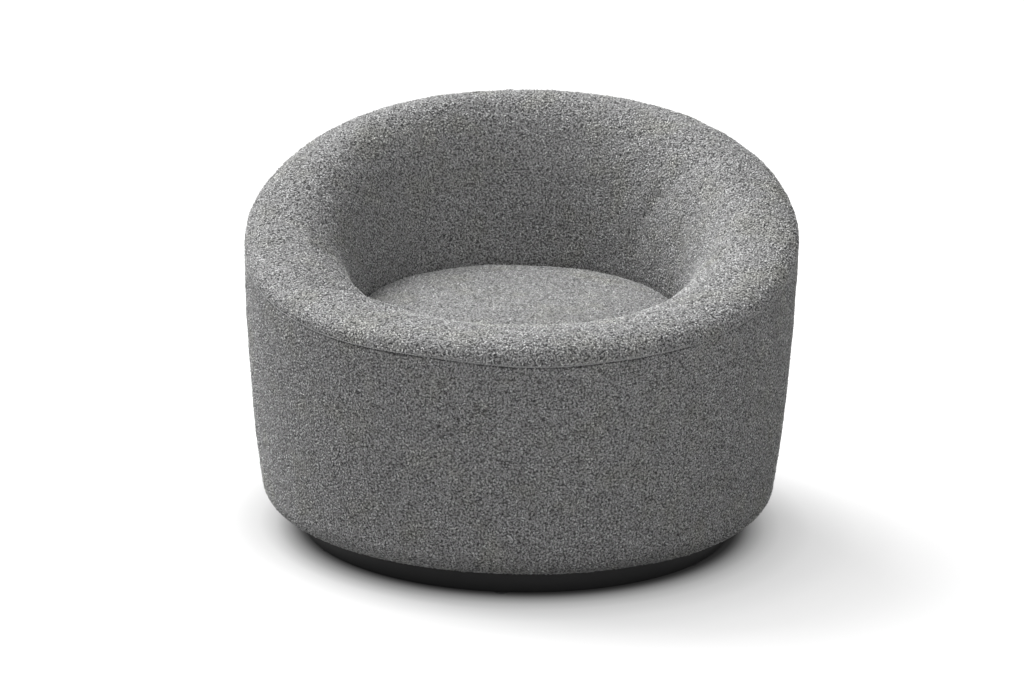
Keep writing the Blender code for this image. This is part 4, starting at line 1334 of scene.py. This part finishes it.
flat_plywood = birch_plywood("birch_plywood_flat", False)
rib_plywood = birch_plywood("birch_plywood_ribs", True)
print("plywood for flat boards:", flat_plywood.name, "and for ribs:", rib_plywood.name)

# %% [markdown]
# The wall is hardboard, pressed wood fibre with a brown, leathery skin. Swivel, springs, clips and screws
# keep their own meshes too and take the zinc of the staples. Each solid's slot in the frame's record says
# which finish is its.

# %% Hardboard and the solids' own meshes
hardboard_fibre = 0.003      # width of a mottled clump of fibres


def hardboard():
    """Pressed wood fibre, 3 mm thick: brown, mottled, with a leathery skin."""
    made, tree, shader = new_material("pressed_hardboard", 0.7)
    fibre = add_node(tree, "ShaderNodeTexNoise",
                     {"Vector": surface_place(tree), "Scale": 1 / hardboard_fibre, "Detail": 6.0})
    brown = add_node(tree, "ShaderNodeValToRGB", {"Fac": fibre.outputs["Fac"]},
                     stops=[(0.3, "#6b4c33"), (0.5, "#8a6747"), (0.72, "#a88460")])
    tree.links.new(brown.outputs["Color"], shader.inputs["Base Color"])
    add_bump(tree, shader, fibre.outputs["Fac"], 0.0003)
    return made


finishes = {"plywood": flat_plywood, "fibreboard": hardboard(), "zinc_steel": zinc}
refinished = [piece for piece in frame["record"]["subparts"] if piece["material_slot"] in finishes]
for piece in refinished:
    finish = rib_plywood if piece["node"].startswith("rib_") else finishes[piece["material_slot"]]
    for slot in nodes[piece["node"]].material_slots:
        slot.material = finish
print("CAD nodes with a new finish:", len(refinished))

# %% [markdown]
# The floor and the backdrop are white by their own colour as the camera sees it. The floor darkens by its
# distance from the plinth as a painted contact shadow, where a real floor sees neither lamp nor sky, and it
# also keeps the chair's own shadow.

# %% Floor and backdrop
floor_size = 30.0
sky_strength = 0.02                          # as a light, while the camera sees it white
floor_glow = 0.72                            # what the camera sees of the floor without any lamp
floor_matt = 0.31                            # how much of the lamps' light the floor sends back
contact_shift = (-0.005, -0.030, 0.0)        # added to a place: the shade lies 5 mm right and 30 mm back
contact_stretch = (1.035, 1.0, 0.0)          # it is a little narrower than deep, and flat
painted_contact_shadow = [(0.39, "#141414"), (0.415, "#343434"), (0.425, "#585858"), (0.435, "#7e7e7e"),
                 (0.445, "#989898"), (0.47, "#c0c0c0"), (0.50, "#d8d8d8"), (0.56, "#ececec"),
                 (0.65, "#f9f9f9"), (0.74, "#ffffff")]      # by radius in metres


def seen_directly(tree):
    """1 for rays from the camera, and those that metal or glass sends on, else 0."""
    rays = add_node(tree, "ShaderNodeLightPath").outputs
    return maths(tree, "MAXIMUM", maths(tree, "MAXIMUM", rays["Is Camera Ray"], rays["Is Glossy Ray"]),
                 rays["Is Transmission Ray"])


def white_floor():
    """Matt white studio floor. The glow that makes it white to the camera fades out under the chair, and its
    seen colour darkens there: a painted contact shadow.
    """
    made, tree, shader = new_material("matt_white_floor", 0.9)
    tree.nodes.remove(shader)
    level_place = surface_place(tree, contact_stretch)
    shifted = add_node(tree, "ShaderNodeVectorMath", {0: level_place, 1: contact_shift}, operation="ADD")
    reach = add_node(tree, "ShaderNodeVectorMath", {0: shifted.outputs[0]}, operation="LENGTH")
    # Painted contact shadow: the floor's seen colour and glow darken by radius near the plinth.
    shade = add_node(tree, "ShaderNodeValToRGB", {"Fac": reach.outputs["Value"]}, stops=painted_contact_shadow)
    coat = (floor_matt, floor_matt, floor_matt, 1.0)
    matt = add_node(tree, "ShaderNodeBsdfDiffuse", {"Color": coat}).outputs[0]
    seen_coat = mix_colours(tree, 1.0, shade.outputs["Color"], coat, "MULTIPLY")
    seen_matt = add_node(tree, "ShaderNodeBsdfDiffuse", {"Color": seen_coat}).outputs[0]
    glow = add_node(tree, "ShaderNodeEmission",
                    {"Color": shade.outputs["Color"], "Strength": floor_glow}).outputs[0]
    bright = add_node(tree, "ShaderNodeAddShader", {0: seen_matt, 1: glow}).outputs[0]
    mixed = add_node(tree, "ShaderNodeMixShader", {0: seen_directly(tree), 1: matt, 2: bright}).outputs[0]
    tree.links.new(mixed, tree.nodes["Material Output"].inputs["Surface"])
    return made


half = floor_size / 2
floor = mesh_object("studio_floor", [(-half, -half, 0), (half, -half, 0), (half, half, 0), (-half, half, 0)],
                    [(0, 1, 2, 3)], white_floor())

world = bpy.data.worlds.new("white_studio")
bpy.context.scene.world = world
world.use_nodes = True
tree = world.node_tree
level = add_node(tree, "ShaderNodeMapRange",
                 {"Value": seen_directly(tree), "To Min": sky_strength, "To Max": 1.0})
background = tree.nodes["Background"]
background.inputs["Color"].default_value = (1.0, 1.0, 1.0, 1.0)
tree.links.new(level.outputs[0], background.inputs["Strength"])
print("floor", floor_size, "m wide, under a sky of strength", sky_strength)

# %% [markdown]
# Studio light is a few broad lamps. Three wide suns stand for them: a strong one from behind on the left,
# which leaves the front of the drum in half shade, a weak one from the left, and a weak one from the front
# right. Their strengths were fitted to the greys of the object.


# %% Lamps
def soft_sun(name, turn, elevation, strength, spread):
    """A distant lamp, at an angle round from +X and up from the floor in degrees."""
    turn, elevation = radians(turn), radians(elevation)
    towards = Vector((cos(turn) * cos(elevation), sin(turn) * cos(elevation), sin(elevation)))
    data = bpy.data.lights.new(name, "SUN")
    data.energy = strength
    data.angle = radians(spread)
    lamp = bpy.data.objects.new(name, data)
    lamp.rotation_mode = "QUATERNION"
    lamp.rotation_quaternion = towards.to_track_quat("Z", "Y")
    bpy.context.scene.collection.objects.link(lamp)


soft_sun("key_light", 146, 45, 5.2, 44)
soft_sun("side_light", 180, 50, 1.25, 50)
soft_sun("front_fill", 298, 40, 1.48, 60)

# %% [markdown]
# The camera repeats the photograph's view. Its distance, height, turn and focal length come from fitting
# the chair's form to its outline, so they are given as a view on a target, and a small roll.

# %% Camera
photo_width = 1024
focal_length = 3335.9        # in pixels of the photograph
camera_distance = 6.0866
camera_elevation = 0.2682    # radians, as are the next two
camera_turn = 0.0697
camera_roll = 0.0159
target_side = -0.0142
target_height = 0.3417

data = bpy.data.cameras.new("camera")
data.sensor_width = 36.0
data.lens = data.sensor_width * focal_length / photo_width
camera = bpy.data.objects.new("camera", data)
bpy.context.scene.collection.objects.link(camera)
target = Vector((target_side * cos(camera_turn), target_side * sin(camera_turn), target_height))
level_reach = camera_distance * cos(camera_elevation)
camera.location = target + Vector((level_reach * sin(camera_turn), -level_reach * cos(camera_turn),
                                   camera_distance * sin(camera_elevation)))
aim = (target - camera.location).to_track_quat("-Z", "Y")
camera.rotation_mode = "QUATERNION"
camera.rotation_quaternion = aim @ Quaternion((0, 0, 1), camera_roll)
bpy.context.scene.camera = camera
bpy.context.scene.view_settings.view_transform = "Standard"
print("camera at", [round(x, 3) for x in camera.location], "with a lens of", round(data.lens, 1), "mm")
